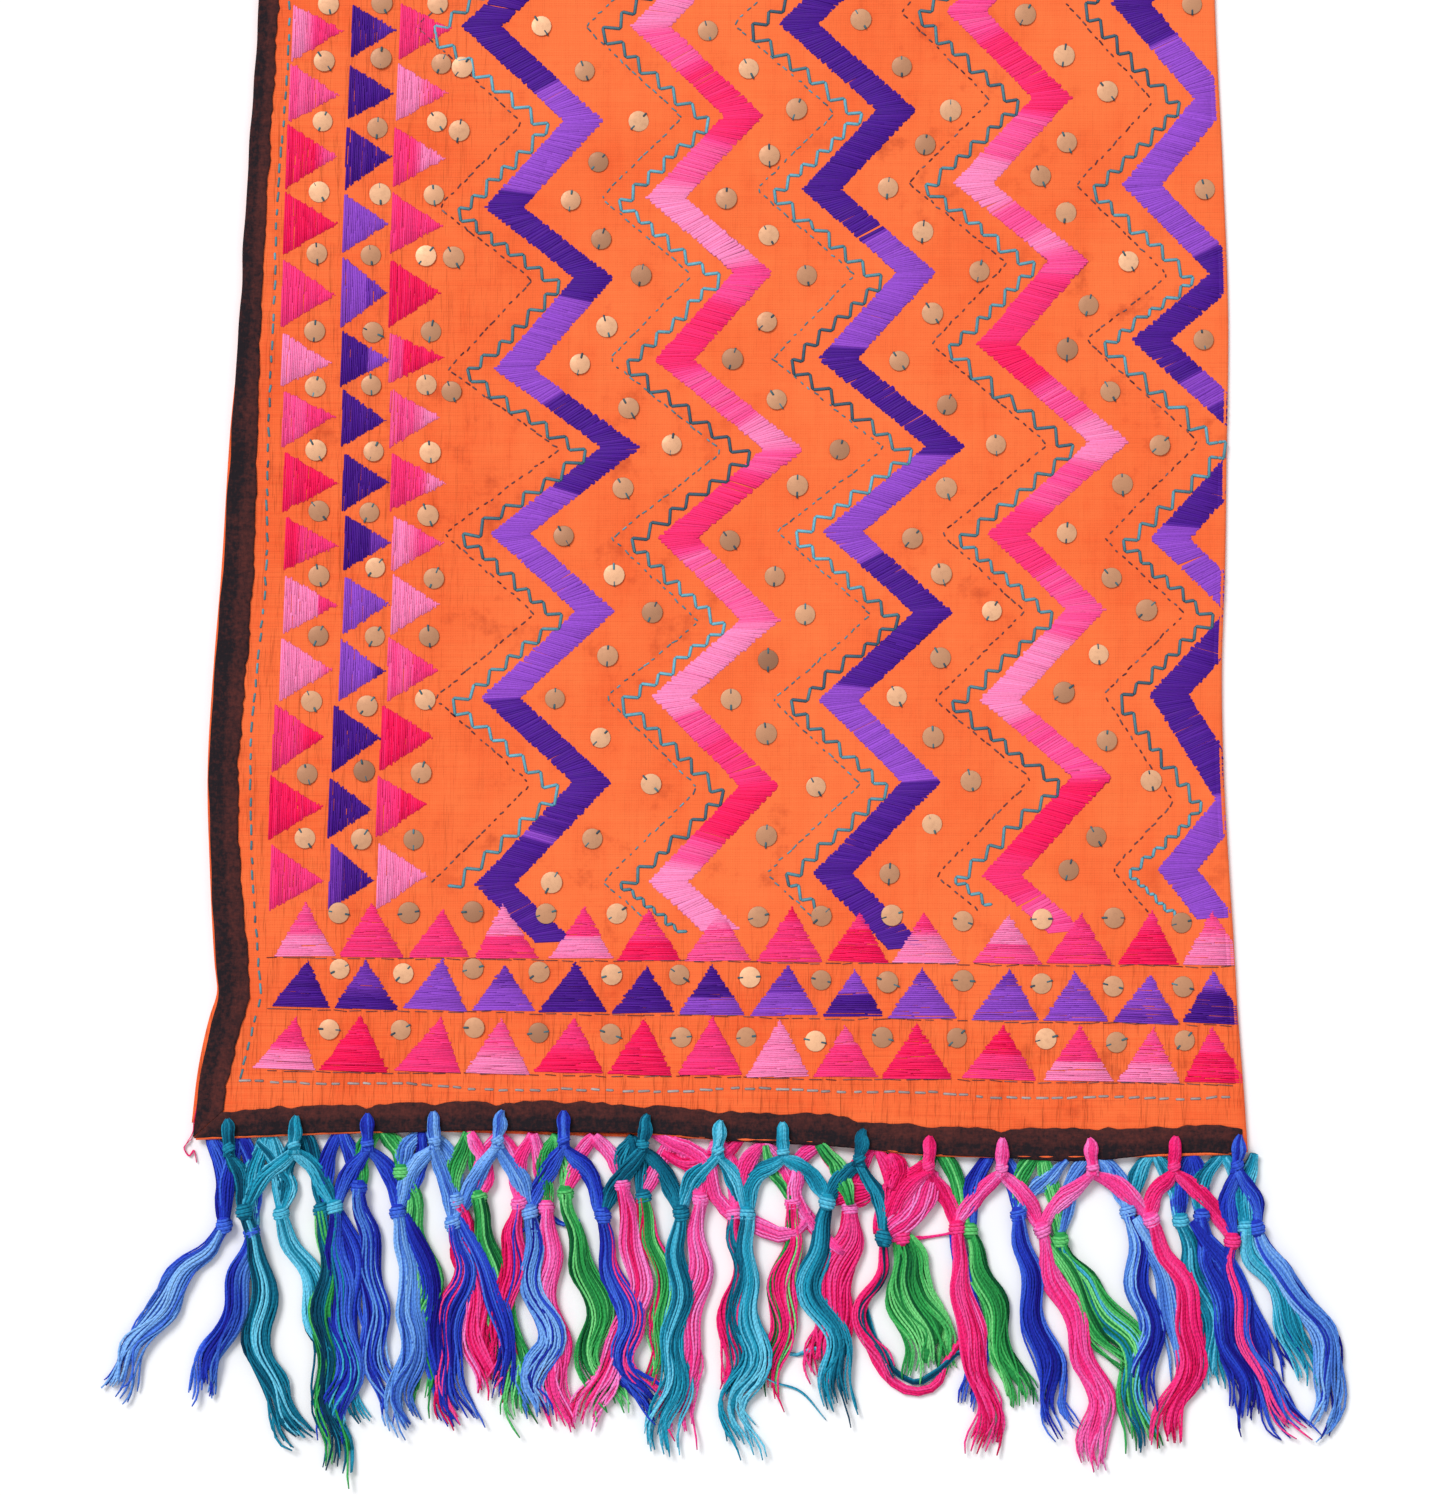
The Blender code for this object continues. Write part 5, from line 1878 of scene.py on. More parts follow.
TANGLES = (
    Tangle(((214, -2), (226, 4), (237, 8), (245, 15), (247, 27), (256, 37), (267, 41),
           (277, 45), (288, 42), (292, 33)),
           PINK, 9.0, 11),
    Tangle(((262, -3), (254, 5), (243, 11), (232, 14), (222, 9)), CRIMSON, 8.0, 10),
    Tangle(((277, 8), (285, 13), (285, 26), (291, 37), (299, 46), (308, 52)), PINK, 8.0, 9),
    Tangle(((300, 27), (306, 24), (314, 22), (322, 17)), CRIMSON, 14.0, 13),
    Tangle(((349, 6), (343, 14), (335, 24), (329, 34), (327, 42)), CRIMSON, 20.0, 19),
    Tangle(((350, 8), (347, 18), (340, 28), (331, 36), (327, 42)), PINK, 15.0, 13),
    Tangle(((296, 1), (303, 8), (308, 18), (311, 28)), GREEN, 9.0, 10),
    Tangle(((271, 3), (274, 14), (279, 22), (284, 29)), GREEN, 7.0, 8),
    Tangle(((30, 3), (38, 14), (46, 26), (42, 37)), TEAL, 7.0, 8),
    Tangle(((108, 1), (107, 14), (103, 28), (97, 38)), ROYAL, 8.0, 9),
    Tangle(((66, 34), (76, 58), (74, 86), (80, 112)), ROYAL, 10.0, 10, True),
    Tangle(((100, 40), (112, 72), (112, 104), (120, 130)), ROYAL, 11.0, 11, True),
    Tangle(((124, 40), (140, 72), (148, 100), (146, 130)), ROYAL, 10.0, 10, True),
    Tangle(((330, 2), (334, 10), (330, 18)), CRIMSON, 12.0, 12),
    Tangle(((361, 38), (366, 62), (371, 88), (369, 118)), ROYAL, 11.0, 11, True),
    Tangle(((414, 2), (404, 12), (396, 20), (391, 28)), SKY, 8.0, 9),
    Tangle(((428, 2), (436, 12), (441, 20), (443, 26)), SKY, 8.0, 9),
    Tangle(((446, 30), (458, 52), (464, 76), (470, 108)), SKY, 11.0, 11, True),
    Tangle(((474, 32), (490, 56), (504, 84), (512, 110)), ROYAL, 12.0, 12, True),
    Tangle(((402, 36), (420, 62), (430, 88), (446, 100)), GREEN, 9.0, 9, True),
    Tangle(((328, 43), (340, 42), (353, 39), (362, 36)), PINK, 1.6, 2),
    Tangle(((129, -2), (133, 8), (137, 14), (140, 24), (135, 33)), PINK, 7.0, 9),
    Tangle(((150, 55), (158, 47), (167, 41), (175, 46), (183, 44)), ROYAL, 2.6, 3),
    Tangle(((58, 96), (66, 104), (70, 112), (64, 120), (60, 118)), TEAL, 1.4, 1),
    Tangle(((266, 86), (275, 97), (285, 103), (297, 99), (301, 104)), TEAL, 2.4, 3),
    Tangle(((266, 110), (276, 116), (287, 120), (300, 132)), TEAL, 1.4, 1),
    Tangle(((316, 78), (320, 96), (329, 108), (341, 114), (352, 111), (357, 98), (364, 88),
           (372, 86)), CRIMSON, 5.0, 6),
    Tangle(((319, 76), (323, 92), (332, 104), (344, 110), (354, 103), (362, 94), (371, 92)),
           DEEP_TEAL, 3.6, 4),
    Tangle(((-2, 1), (-6, 5), (-3, 9), (-1, 6), (1, 12)), CRIMSON, 0.8, 1),
    Tangle(((2, -20), (0, -10), (-1, -2), (-4, 3)), CRIMSON, 0.6, 1),
)


CRIMP_LENGTH = 43.0


class Pile:
    """The height of what lies near one hem, on a grid of the ground, so that each bundle rests on those
    before it.
    """

    def __init__(self, hem_height: float) -> None:
        """Starts with bare ground outside the hem and the hem's height inside it."""
        self.low = np.array([-110.0, -30.0])
        self.heights = np.zeros((760, 260))
        self.heights[:, : int(-self.low[1])] = hem_height

    def cells(self, plan: Array) -> tuple[Array, Array]:
        """Grid cells of (across, drop) places, one to a millimetre."""
        place = np.rint(plan - self.low).astype(int)
        return np.clip(place[..., 0], 0, 759), np.clip(place[..., 1], 0, 259)

    def under(self, plan: Array) -> Array:
        """What lies under these places."""
        return self.heights[self.cells(plan)]

    def add(self, plan: Array, top: Array) -> None:
        """Raises the ground at these places to a new top."""
        np.maximum.at(self.heights, self.cells(plan), top)


@dataclass
class Bundle:
    """Yarns that run together along one way: a loop over the tape, a leg or a tassel.

    The way is a smooth curve through its places. A soft core fills the bundle, and the yarns lie side by
    side over the upper side of an ellipse of its width and thickness. Strays are more yarns, which wander
    off towards a loose end. The bundle's height follows what it lies on.
    """

    way: Array
    yarns: int
    width: tuple[float, ...]
    thick: float
    first: Dye
    second: Dye
    seed: int
    steps: int = 24
    strays: int = 0
    radius: float = 0.66
    start_height: Optional[float] = None
    end_height: Optional[float] = None
    loose_end: bool = False
    loose: float = 0.3
    sway: float = 0.3
    second_share: float = 0.3
    contrast: float = 0.6
    arch: float = 0.0
    crimp: float = 0.0
    ceiling: Optional[float] = None

    def centre(self, share: Array) -> tuple[Array, Array]:
        """The middle line of the bundle, which bends to and fro by its crimp.

        Args:
            share: shares of the way's length. One over 1 goes straight on past its end.

        Returns:
            Places (across, drop), and the unit headings there.
        """
        run = run_of(self.way)
        length = run[-1]
        inside = np.clip(share, 0, 1)
        place, before, after = (
            np.stack([smooth_table(inside + step, run / length, side) for side in self.way.T], -1)
            for step in (0.0, -0.02, 0.02)
        )
        heading = (after - before) / (np.linalg.norm(after - before, axis=-1, keepdims=True) + 1e-9)
        bend = self.crimp * np.sin(2 * np.pi * share * length / CRIMP_LENGTH + self.seed) * ease(share * 4)
        ahead = heading * ((share - inside) * length)[..., None]
        return place + ahead + sideways(heading) * bend[..., None], heading

    def rest(self, pile: Pile) -> tuple[Array, Array]:
        """The heights of the bundle's lower side, smoothed so that it drapes over what lies under it.

        Args:
            pile: what lies there.

        Returns:
            Even shares of the way, and the heights there.
        """
        share = np.linspace(0, 1, 60)
        place, heading = self.centre(share)
        half = np.interp(share, np.linspace(0, 1, len(self.width)), self.width) / 2
        aside = np.linspace(-0.8, 0.8, 7)[None, :, None] * half[:, None, None]
        ground = pile.under(place[:, None] + sideways(heading)[:, None] * aside).mean(axis=1)
        top = np.max([np.roll(ground, k) for k in (-1, 0, 1)], axis=0)
        kernel = np.hanning(13)
        kernel /= kernel.sum()
        padded = np.concatenate([np.full(6, top[0]), top, np.full(6, top[-1])])
        low = 0.85 * np.convolve(padded, kernel, "valid") + 0.05
        if self.start_height is not None:
            start = (self.start_height - low[0]) * np.clip(1 - share * 2.2, 0, 1) ** 1.5
            low = np.maximum(low, low + start)
        if self.end_height is not None:
            low = low + (self.end_height - low[-1]) * np.clip(share * 2.2 - 1.2, 0, 1)
        return share, np.maximum(low + self.arch * np.sin(np.pi * share), 0.05)

    def across_at(self, share: Array) -> Array:
        """The bundle's width at these shares of its way, which swells and narrows by a tenth as well."""
        swell = 1 + 0.1 * np.sin(2 * np.pi * (1.7 * share + 0.37 * self.seed))
        return np.interp(share, np.linspace(0, 1, len(self.width)), self.width) * swell

    def held_down(self, height: Array, drop: Array) -> Array:
        """Heights kept under the ceiling, which rises steeply once a place is outside the hem.

        Args:
            height: the heights.
            drop: how far outside the hem they are.

        Returns:
            The lower of the two.
        """
        if self.ceiling is None:
            return height
        return np.minimum(height, self.ceiling - self.radius + 1.3 * np.clip(drop - 0.3, 0, None))

    def core(self, base: tuple[Array, Array], place_of: "FringeEnd") -> Part:
        """The soft middle: a tube with an elliptic section a little smaller than the bundle, pointed if it
        ends loose. Its deep shade of the dye is painted shade, seen in the gaps between the yarns.

        Args:
            base: even shares of the way and the heights of the lower side there.
            place_of: the fringe, which turns drops into points.

        Returns:
            The tube.
        """
        share = np.linspace(0, 0.92 if self.loose_end else 1.0, self.steps)[None]
        place, _ = self.centre(share)
        half = self.across_at(share) * 0.42
        if self.loose_end:
            half = half * (1 - 0.9 * ease((share - 0.64) / 0.28))
        rise = np.full(half.shape, self.thick * 0.38)
        low = np.interp(share, *base)
        height = self.held_down(low + self.thick * 0.46, place[..., 1] - 1.0)
        # Painted shade: the core's deep tint makes the gaps between yarns dark
        tint = shade(self.first, np.full(share.shape, 1.45))
        return tubes(place_of.to_plan(place, height), half, tint, 8, np.minimum(rise / half, 1.0))

    def tones(self, even: Array, share: Array, draw: np.random.Generator) -> Array:
        """Colours of the yarns along them: a few neighbours share a length of dye, and each changes slowly.

        Args:
            even: where each yarn lies in the bundle, 0 to 1.
            share: shares of the way, yarns by steps.
            draw: the seeded source.

        Returns:
            Colours, yarns by steps by three.
        """
        count = len(even)
        group = np.clip((even * 7 + draw.normal(0, 0.5, count)).astype(int), 0, 6)
        tone = draw.permutation([0.0, 0.4, 0.7, 1.0, 1.2, 1.5, 2.0])[group]
        tone = 0.9 + (tone - 0.9) * self.contrast + draw.normal(0, 0.2, count)
        change = np.sin(2 * np.pi * (share * 0.8 + draw.random()) + draw.uniform(-0.6, 0.6, count)[:, None])
        depth = tone[:, None] + 0.45 * self.contrast * change
        other = np.isin(group, draw.permutation(7)[: round(7 * self.second_share)])
        return np.where(other[:, None, None], shade(self.second, depth), shade(self.first, depth))

    def part(self, pile: Pile, place_of: "FringeEnd") -> Part:
        """The bundle's core and yarns, which also raise the pile.

        A yarn's angle on the ellipse runs evenly from just below one edge, over the top, to just below the
        other, and a term in sin(2 a) brings them closer on top. The whole set sways to and fro along the
        way.

        Args:
            pile: what lies under the bundle.
            place_of: the fringe, which turns drops into points.

        Returns:
            One part.
        """
        draw = np.random.default_rng(self.seed)
        count = self.yarns + self.strays
        free = (np.arange(count) >= self.yarns)[:, None]
        even = np.concatenate([(np.arange(self.yarns) + 0.5) / self.yarns, draw.random(self.strays)])
        reach = np.ones(count)
        if self.loose_end:
            reach = draw.uniform(0.9, 1.01, count)
            reach[draw.random(count) < 0.1] += 0.06
        share = np.linspace(0, 1, self.steps)[None] * reach[:, None]
        place, heading = self.centre(share)
        sway = self.sway * np.sin(2 * np.pi * (0.7 * share + draw.random()))
        angle = np.pi * (1.25 * even - 0.125)[:, None] + sway
        angle = angle + 0.17 * np.sin(2 * angle)
        growth = np.sin(np.pi * np.clip(share, 0, 1))
        if self.loose_end:
            growth = 0.35 + 0.65 * ease((share - 0.3) / 0.7)
        stray = np.stack([wander(one, 0.45, draw, 3) for one in share]) * self.loose * growth
        stray = stray * np.where(free, 2.2, 1.0)
        if self.loose_end:
            clump = draw.normal(0, 1.3, 6)[np.minimum((even * 6).astype(int), 5)][:, None]
            stray = stray + clump * ease((share - 0.5) / 0.5)
        aside = np.cos(angle) * (self.across_at(share) / 2 - self.radius) + stray
        base = self.rest(pile)
        thinning = 1 - 0.45 * ease((share - 0.7) / 0.3) if self.loose_end else 1.0
        thick = self.thick * thinning
        over = (0.5 + 0.5 * np.sin(angle)) * (thick - 2 * self.radius) + 0.3 * free
        plan = place + sideways(heading) * aside[..., None]
        height = self.held_down(np.interp(np.clip(share, 0, 1), *base) + self.radius + over, place[..., 1])
        pile.add(plan.reshape(-1, 2), (height + self.radius).reshape(-1))
        radius = np.full(share.shape, self.radius) * draw.uniform(0.88, 1.1, count)[:, None]
        radius[:, -1] *= 0.6 if self.loose_end else 1.0
        yarns = tubes(place_of.to_plan(plan, height), radius, self.tones(even, share, draw))
        return joined([self.core(base, place_of), yarns])


@dataclass
class Wrap:
    """A small knot: a round core, and a few turns of doubled yarn wound tightly over it."""

    across: float
    drop: float
    heading: float
    width: float
    thick: float
    length: float
    dye: Dye
    seed: int
    turns: float = 2.2
    radius: float = 0.8
    strands: int = 2

    def placed(self, aside: Array, forward: Array, height: Array, place_of: "FringeEnd") -> Array:
        """Points of the knot.

        Args:
            aside: places beside the bundle's middle line.
            forward: places along it.
            height: their heights.
            place_of: the fringe, which turns drops into points.

        Returns:
            Points with a last axis of three.
        """
        x = self.across + aside * math.cos(self.heading) + forward * math.sin(self.heading)
        d = self.drop - aside * math.sin(self.heading) + forward * math.cos(self.heading)
        return place_of.to_plan(np.stack([x, d], -1), height)

    def part(self, base: float, place_of: "FringeEnd") -> Part:
        """The coil and its core: the coil's points go round an ellipse, width by thickness, as they move
        along the bundle.

        The ellipse swells by a sine towards the middle of the knot, and the strands lie side by side. The
        coil carries painted light on top and painted shade underneath, and the core's deeper tint is painted
        shade between the turns.

        Args:
            base: the height of its lower side.
            place_of: the fringe, which turns drops into points.

        Returns:
            One part.
        """
        draw = np.random.default_rng(self.seed)
        share = np.linspace(0, 1, int(self.turns * 12) + 1)[None]
        strand = np.arange(self.strands)[:, None]
        angle = 2 * np.pi * (self.turns * share + draw.random())
        forward = (share - 0.5) * self.length * 0.7 + (strand - 0.5) * self.length / self.turns / self.strands
        forward = forward + 0.5 * np.sin(angle + draw.uniform(0, 6.28))
        swell = 0.74 + 0.32 * np.cos(np.pi * np.clip(forward / self.length, -0.5, 0.5))
        aside = np.cos(angle) * (self.width / 2 - self.radius) * swell
        up = (np.sin(angle) * swell + 1) * (self.thick / 2 - self.radius * 0.5)
        path = self.placed(aside, forward, base + self.radius + up, place_of)
        # Painted light and shade: the coil is lighter on top, where sin(angle) is high, and darker underneath
        tint = shade(self.dye, 0.65 + draw.normal(0, 0.15, (self.strands, 1)) - 0.3 * np.sin(angle))
        coil = tubes(path, np.full(path.shape[:2], self.radius), tint, 5)
        along = np.linspace(-0.6, 0.6, 6)[None]
        middle = np.full(along.shape, base + self.thick / 2 + self.radius * 0.5)
        half = (self.width / 2 - 0.4) * np.sqrt(1 - (along / 0.75) ** 2)
        body = self.placed(np.zeros_like(along), along * self.length, middle, place_of)
        # Painted shade: the core's deeper tint shows between the turns
        core = tubes(body, half, shade(self.dye, np.full(along.shape, 1.2)), 8, self.thick / self.width)
        return joined([coil, core])


# Widths along a bundle, from its start to its end. A tangle's are shares of its own width.
TASSEL_WIDTHS = (5.2, 9.2, 12.2, 13.2, 12.6, 13.0, 14.6)
LEG_WIDTHS = (4.8, 8.0, 9.0, 8.2, 5.0)
LOBE_WIDTHS = (2.4, 5.6, 6.8, 7.0, 6.6, 6.0, 5.4, 5.6, 7.0)
LOOSE_WIDTHS = (0.5, 0.9, 1.0, 1.0, 1.15)
TIED_WIDTHS = (0.5, 0.9, 1.0, 0.9, 0.5)


@dataclass
class FringeEnd:
    """The two fringes at one end of the shawl, from the ground up."""

    form: ClothForm
    yarn: bpy.types.Material
    cotton: bpy.types.Material
    far: bool
    tassel_yarns: int
    leg_yarns: int
    steps: int

    def to_plan(self, plan: Array, height: Array) -> Array:
        """Turns drops, which are measured out from the upper layer's hem, into points.

        Args:
            plan: (across, drop) pairs.
            height: their heights.

        Returns:
            Points with a last axis of three.
        """
        across, drop = plan[..., 0], plan[..., 1]
        held = np.clip(across, 0, 500)
        y = LENGTH + self.form.far_hem(held) + drop if self.far else self.form.near_hem(held) - drop
        return np.stack([across, y, height], -1)

    def hem_height(self) -> float:
        """The middle height of the lifted upper layer at this hem."""
        return 2 * WALL + LAYER_GAP + HEM_LIFT

    def under_ceiling(self) -> float:
        """How high a yarn under the upper layer may lie at this hem."""
        return self.hem_height() - WALL - 0.3

    def under_edge(self, across: float) -> float:
        """How far the under layer's hem lies outside the upper one's."""
        at = np.array(across)
        if self.far:
            return float(self.form.under_far_hem(at) - self.form.far_hem(at))
        return float(self.form.near_hem(at) - self.form.under_near_hem(at))

    def tassel(self, pile: Pile, lock: Lock, seed: int, height: Optional[float]) -> Part:
        """One loose tassel from its knot along its way.

        Args:
            pile: what lies under it.
            lock: its lock.
            seed: the seed of its unevenness.
            height: how high it leaves the knot, where that isn't the ground's own height.

        Returns:
            One part.
        """
        knot, way = (lock.knot, float(lock.knot_drop)), lock.way
        neck = (knot[0] * 0.75 + way[0][0] * 0.25, knot[1] * 0.75 + way[0][1] * 0.25)
        places = np.array([knot, neck, *way])
        places[1:] += np.random.default_rng(seed).normal(0, 0.8, places[1:].shape)
        yarns = round(self.tassel_yarns * lock.wide)
        return Bundle(
            places,
            yarns,
            tuple(width * lock.wide for width in TASSEL_WIDTHS),
            5.2,
            lock.tassel,
            lock.second,
            seed,
            self.steps,
            strays=yarns * 3 // 5,
            start_height=height,
            loose_end=True,
            loose=0.9,
            contrast=0.9,
            crimp=2.2,
            sway=0.45,
        ).part(pile, self)

    def leg(
        self,
        pile: Pile,
        root: tuple[float, float],
        knot: tuple[float, float],
        dye: Dye,
        seed: int,
        heights: tuple[float, float],
        ceiling: Optional[float] = None,
    ) -> Part:
        """One leg from a root's neck to a knot, bowed away from its twin.

        Args:
            pile: what lies under it.
            root: where it starts, as (across, drop).
            knot: where it ends.
            dye: its yarn.
            seed: the seed of its unevenness.
            heights: the heights of its two ends.
            ceiling: the most it may rise inside the hem.

        Returns:
            One part.
        """
        bend = np.random.default_rng(seed).normal(0, 1.2, 2)
        bow = (2.2 + bend[0]) * np.sign(knot[0] - root[0])
        middle = (root[0] * 0.48 + knot[0] * 0.52 + bow, root[1] * 0.52 + knot[1] * 0.48 - 1.0 + bend[1])
        places = np.array([root, middle, knot])
        return Bundle(
            places,
            self.leg_yarns,
            LEG_WIDTHS,
            4.4,
            dye,
            dye,
            seed,
            max(8, self.steps // 2),
            start_height=heights[0],
            end_height=heights[1],
            ceiling=ceiling,
            crimp=0.7,
        ).part(pile, self)

    def lobe(self, root: float, dye: Dye, seed: int) -> list[Part]:
        """The loop that comes up through the tape, lies over the hem and is wound at its neck.

        Args:
            root: its place across the cloth.
            dye: its yarn.
            seed: the seed of its unevenness.

        Returns:
            The loop and its winding.
        """
        height = float(self.form.flat_height(np.array(root), np.array(4.0))) + 0.9
        across = root + np.random.default_rng(seed).normal(0, 0.8)
        inside = [(across * 2 - root, -8.6), (across, -6.0), (across, -1.0)]
        places = np.array([*inside, (root, 3.4), (root, 9.5)])
        pile = Pile(height)
        pile.heights[:, 30:] = height - 1.2
        yarns = max(8, self.leg_yarns)
        loop = Bundle(places, yarns, LOBE_WIDTHS, 3.6, dye, dye, seed, 14, loose=0.1, sway=0.1, arch=0.8)
        neck = Wrap(root, 5.4, 0.25, 6.6, 4.4, 3.4, dye, seed + 1, 1.4)
        return [loop.part(pile, self), neck.part(height - 1.6, self)]

    def edge_strip(self, name: str, low: float, under: bool) -> bpy.types.Object:
        """The rolled raw edge of the cloth that carries the roots: a thin cord of orange cloth just outside
        the hem.

        Args:
            name: the piece's name.
            low: the height of its middle.
            under: whether it is the under layer's.

        Returns:
            The piece.
        """
        row, drop = EDGES[-1] if self.far else EDGES[0], 0.2
        across = np.arange(row.open_edge + 1.0, row.fold - (5.0 if under else 1.5), 6.0)
        height = np.full_like(across, low)
        path = self.to_plan(np.stack([across, np.full_like(across, drop)], -1), height)
        if under:
            hem = self.form.under_far_hem(across) if self.far else self.form.under_near_hem(across)
            path = np.stack([across, LENGTH + hem + drop if self.far else hem - drop, height], -1)
        # A tint of 0.6 is the cotton's crumple share: darker cloth, with painted shade along the crease
        # streaks
        cord = tubes(path[None], np.ones((1, len(across))), np.full((1, len(across), 3), 0.6), 6)
        return make_piece(name, Part(cord.points, cord.faces, cord.tint), self.cotton)

    def upper_fringe(self, pile: Pile, locks: Sequence[Lock], seed: int) -> list[Part]:
        """Roots, legs, knots and tassels of the upper layer's fringe.

        Args:
            pile: what lies there.
            locks: the fringe's locks.
            seed: the first seed. Each lock has twenty of its own.

        Returns:
            The parts.
        """
        parts = []
        neck = self.hem_height() - 1.0
        for i, lock in enumerate(locks):
            here = seed + 20 * i
            knot = (lock.knot, float(lock.knot_drop))
            base = float(pile.under(np.array([knot])).max()) * 0.8 + 0.3
            top = base + 0.5
            parts += self.lobe(lock.root, lock.yarn, here)
            for k, near in enumerate(locks[i : i + 2]):
                parts.append(self.leg(pile, (near.root, 8.5), knot, near.yarn, here + 2 + k, (neck, top)))
            parts.append(self.tassel(pile, lock, here + 4, top))
            heading = math.atan2(lock.way[0][0] - lock.knot, lock.way[0][1] - lock.knot_drop) * 0.6
            wrap = Wrap(lock.knot, lock.knot_drop, heading, 8.4, 7.2, 6.6, lock.yarn, here + 5)
            parts.append(wrap.part(base, self))
        return parts

    def under_fringe(self, pile: Pile, locks: Sequence[Lock], seed: int) -> list[Part]:
        """Legs, knots and tassels of the under layer's fringe, whose roots lie midway between knots.

        Args:
            pile: what lies there.
            locks: the fringe's locks.
            seed: the first seed. Each lock has twenty of its own.

        Returns:
            The parts.
        """
        parts = []
        thinner = replace(self, leg_yarns=self.leg_yarns * 5 // 6, tassel_yarns=self.tassel_yarns * 6 // 7)
        knots = np.array([lock.knot for lock in locks])
        roots = np.concatenate([[knots[0] - 8], (knots[1:] + knots[:-1]) / 2, [knots[-1] + 4]])
        dyes = [lock.yarn for lock in locks] + [locks[-1].yarn]
        ceiling = self.under_ceiling()
        for i, lock in enumerate(locks):
            here = seed + 20 * i
            knot = (lock.knot, float(lock.knot_drop))
            for k in (0, 1):
                start = (roots[i + k], self.under_edge(roots[i + k]) + 0.8)
                parts.append(thinner.leg(pile, start, knot, dyes[i + k], here + 2 + k, (0.4, 0.3), ceiling))
            parts.append(thinner.tassel(pile, lock, here + 4, None))
            wrap = Wrap(lock.knot, lock.knot_drop, 0.0, 8.2, 6.6, 6.4, lock.yarn, here + 5)
            parts.append(wrap.part(0.1, self))
        return parts

    def tangles(self, pile: Pile, seed: int) -> list[Part]:
        """The loops and loose lengths that lie among the near hem's tassels.

        Args:
            pile: what lies there.
            seed: the first seed.

        Returns:
            The parts.
        """
        parts = []
        for i, tangle in enumerate(TANGLES):
            wide, loose_end = tangle.width, tangle.loose_end
            bundle = Bundle(
                np.array(tangle.way),
                tangle.yarns,
                tuple(wide * share for share in (LOOSE_WIDTHS if loose_end else TIED_WIDTHS)),
                min(4.4, max(1.5, wide * 0.5)),
                tangle.dye,
                tangle.dye,
                seed + i,
                16,
                strays=tangle.yarns // 3 if loose_end else 0,
                radius=0.66 if tangle.yarns > 1 else 0.28,
                loose_end=loose_end,
                loose=0.5,
                contrast=0.8,
                crimp=0.5,
                ceiling=self.under_ceiling(),
            )
            parts.append(bundle.part(pile, self))
        return parts

    def far_locks(self, seed: int, shift: float) -> list[Lock]:
        """An even fringe for the far hem: roots one pitch apart and knots midway, with slow wandering.

        Args:
            seed: the seed of the tassels' ways.
            shift: how far in from each side the roots begin.

        Returns:
            Its locks.
        """
        draw = np.random.default_rng(seed)
        row, count = EDGES[-1], 15
        pitch = (row.fold - row.open_edge - 2 * shift) / (count - 0.5)
        dyes = [TEAL, ROYAL, GREEN, PINK, SKY, CRIMSON]
        locks = []
        for i in range(count):
            root = row.open_edge + shift + i * pitch
            knot = root + pitch / 2
            dye = dyes[(i // 2 + seed) % len(dyes)]
            sway = draw.uniform(-6, 6)
            way = ((knot + sway, 70.0), (knot + sway * 0.5, 100.0), (knot + draw.uniform(-8, 8), 138.0))
            locks.append(Lock(knot, 36.0, dye, dye, dyes[(i + seed) % len(dyes)], way, root=root))
        return locks

    def build(self) -> list[bpy.types.Object]:
        """Makes both fringes of this end and returns their pieces."""
        end = "far" if self.far else "near"
        seed = 7000 if self.far else 3000
        under_pile, pile = Pile(0.0), Pile(self.hem_height())
        if self.far:
            under, upper = self.far_locks(8, 16.0), self.far_locks(5, 9.0)
        else:
            under, upper = NEAR_UNDER, NEAR_UPPER
        under_part = joined(self.under_fringe(under_pile, under, seed))
        pile.heights[:, 30:] = under_pile.heights[:, 30:]
        pieces = []
        if not self.far:
            tangled = joined(self.tangles(under_pile, seed + 2000))
            pieces.append(make_piece("tangled_yarn_near", tangled, self.yarn))
            pile.heights[:, 30:] = 0.6 * under_pile.heights[:, 30:] + 0.4 * pile.heights[:, 30:]
        upper_part = joined(self.upper_fringe(pile, upper, seed + 1000))
        for name, part in (("upper", upper_part), ("under", under_part)):
            piece = make_piece(f"yarn_fringe_{end}_{name}", part, self.yarn)
            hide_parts(f"fringe_{end}_{name}")
            pieces.append(piece)
        pieces.append(self.edge_strip(f"rolled_edge_{end}_upper", self.hem_height() - 0.6, False))
        pieces.append(self.edge_strip(f"rolled_edge_{end}_under", 1.05, True))
        return pieces


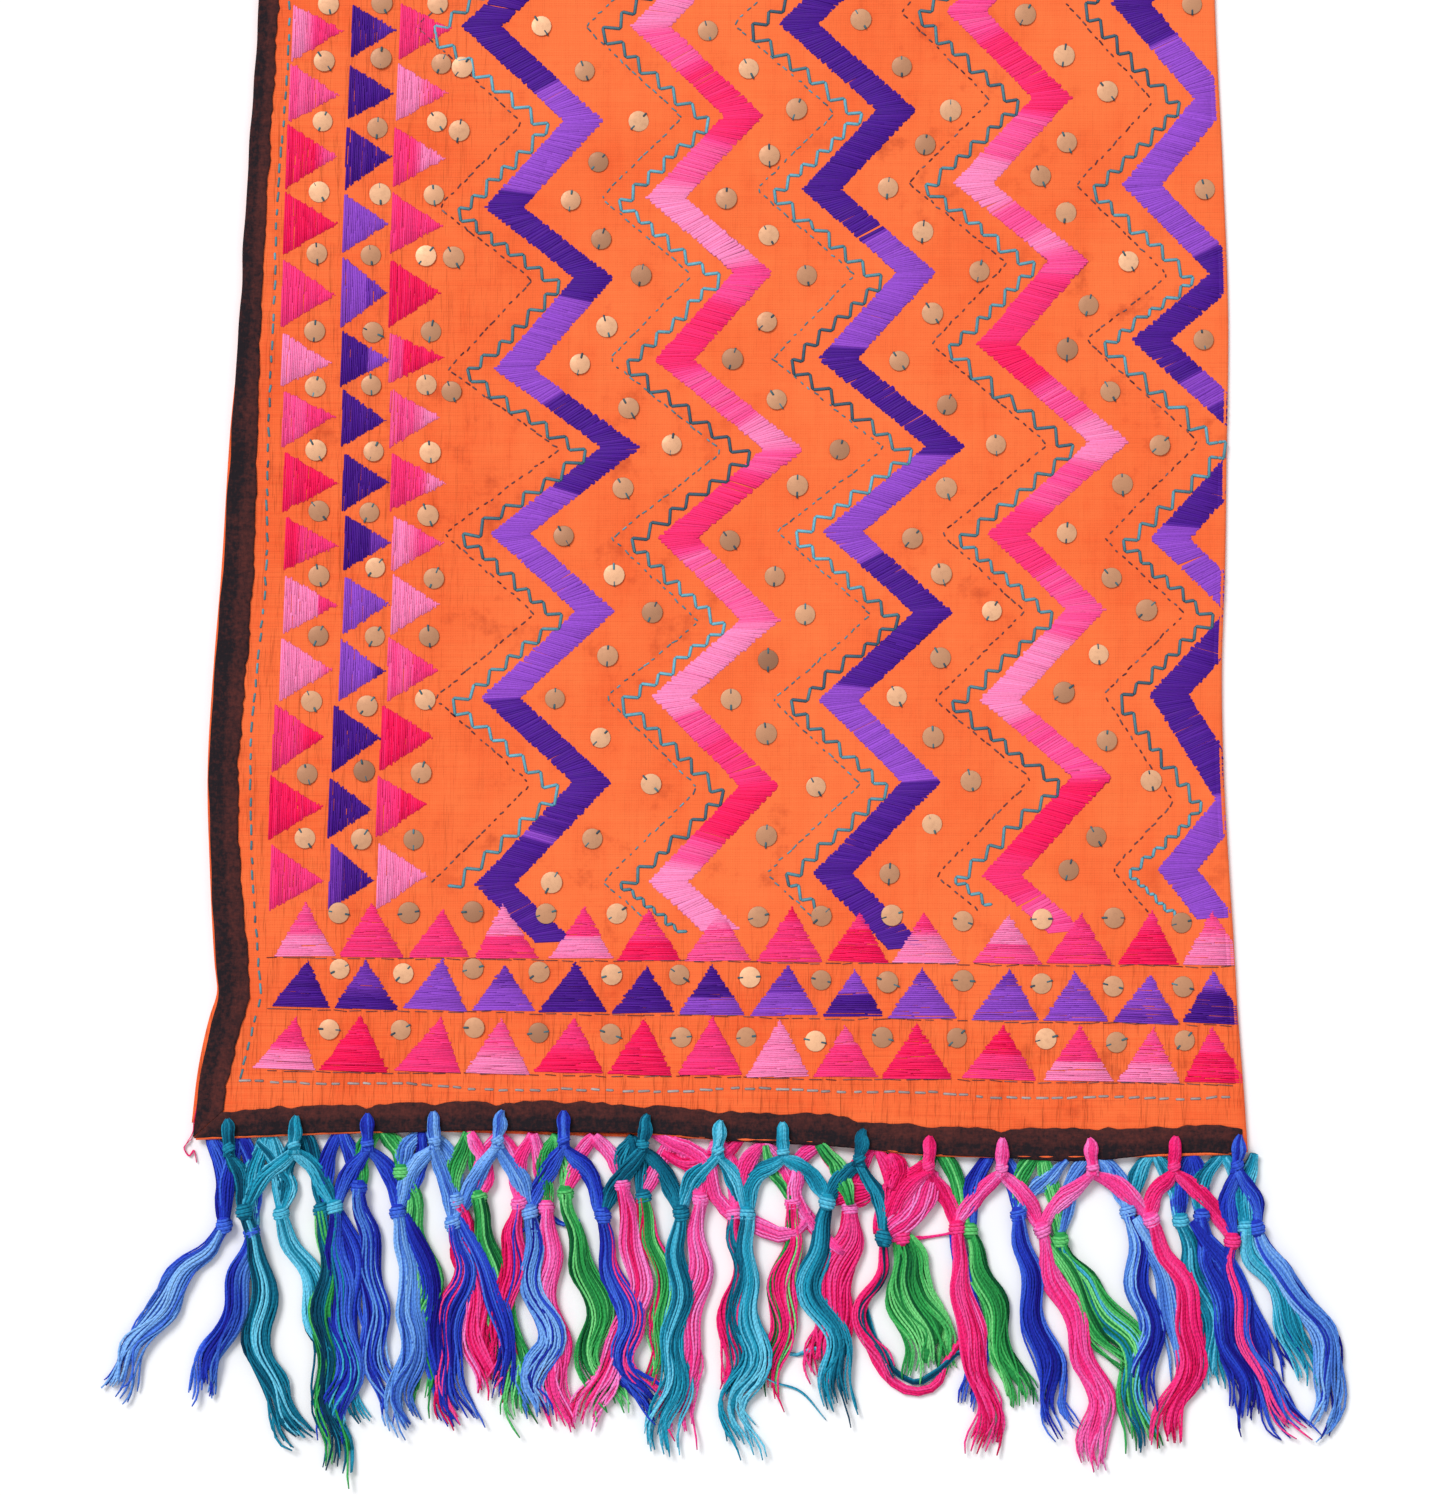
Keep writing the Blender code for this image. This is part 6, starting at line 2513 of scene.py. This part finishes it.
# The studio
@dataclass(frozen=True)
class Studio:
    """A white floor, soft light from above and a camera straight over the middle of the photo's view."""

    lens: float = 85.0
    sensor: float = 36.0
    cloth_height: float = 3.0

    def view_centre(self) -> Array:
        """The place under the photo's middle pixel, in metres."""
        across = (PHOTO_SIZE[0] / 2 - PHOTO_ZERO[0]) * PHOTO_SCALE
        along = (PHOTO_ZERO[1] - PHOTO_SIZE[1] / 2) * PHOTO_SCALE
        return np.array([across, along, self.cloth_height]) * MM + SHIFT

    def camera(self) -> None:
        """Makes the camera, far enough up for the photo's long side to fill its sensor."""
        data = bpy.data.cameras.new("camera")
        data.lens, data.sensor_width = self.lens, self.sensor
        data.clip_start, data.clip_end = 0.05, 50.0
        camera = bpy.data.objects.new("camera", data)
        bpy.context.scene.collection.objects.link(camera)
        long_side = max(PHOTO_SIZE) * PHOTO_SCALE * MM
        centre = self.view_centre()
        camera.location = (centre[0], centre[1], centre[2] + long_side * self.lens / self.sensor)
        bpy.context.scene.camera = camera

    def floor(self) -> None:
        """Makes the plain white floor."""
        half = 12.0
        corners = [(-half, -half, 0), (half, -half, 0), (half, half, 0), (-half, half, 0)]
        mesh = bpy.data.meshes.new("floor")
        mesh.from_pydata(corners, [], [(0, 1, 2, 3)])
        g = Graph("floor", Roughness=0.9, Specular_IOR_Level=0.0)
        paper = g.mix(g.noise(g.place(), 3.0), (0.93, 0.93, 0.935), (0.95, 0.95, 0.955))
        mesh.materials.append(g.finish(paper))
        floor = bpy.data.objects.new("floor", mesh)
        bpy.context.scene.collection.objects.link(floor)

    def light(self) -> None:
        """A wide soft sun from the upper left, and a white world that fills the shadows."""
        sun = bpy.data.lights.new("sun", "SUN")
        sun.energy, sun.angle = 2.25, math.radians(24)
        lamp = bpy.data.objects.new("sun", sun)
        lamp.rotation_euler = (math.radians(-32), math.radians(-30), 0)
        bpy.context.scene.collection.objects.link(lamp)
        world = bpy.data.worlds.new("world")
        world.use_nodes = True
        background = world.node_tree.nodes["Background"]
        background.inputs["Color"].default_value = (0.96, 0.97, 1.0, 1.0)
        background.inputs["Strength"].default_value = 0.62
        scene = bpy.context.scene
        scene.world = world
        scene.view_settings.view_transform = "Standard"

    def build(self) -> None:
        """Makes the whole studio."""
        self.camera()
        self.floor()
        self.light()


def main() -> None:
    """Builds the studio, then the shawl from the cloth outwards."""
    logging.basicConfig(level=logging.INFO, format="%(name)s %(message)s")
    Studio().build()
    form = ClothForm(roots=tuple(lock.root for lock in NEAR_UPPER))
    cotton = CottonFinish().build()
    tape_finish = TapeFinish().build()
    floss = ThreadFinish("floss", 0.6, 0.18, 900.0, 0.14, 0.2).build()
    thread = ThreadFinish("stitching_thread", 0.75, 0.15, 700.0).build()
    yarn = ThreadFinish("yarn", 0.8, 0.12, 1050.0, 0.3, 0.7, 2.2).build()
    cloth = Cloth(form).build(cotton)
    trims = [Tape(form, edge, 20 + k).build(tape_finish) for k, edge in enumerate(TapeEdge)]
    trims += Embroidery(form, floss, thread, SequinFinish().build()).build()
    trims += FringeEnd(form, yarn, cotton, False, 15, 11, 24).build()
    trims += FringeEnd(form, yarn, cotton, True, 8, 5, 10).build()
    LOG.info("%d pieces", len(trims) + 1)


if __name__ == "__main__":
    main()
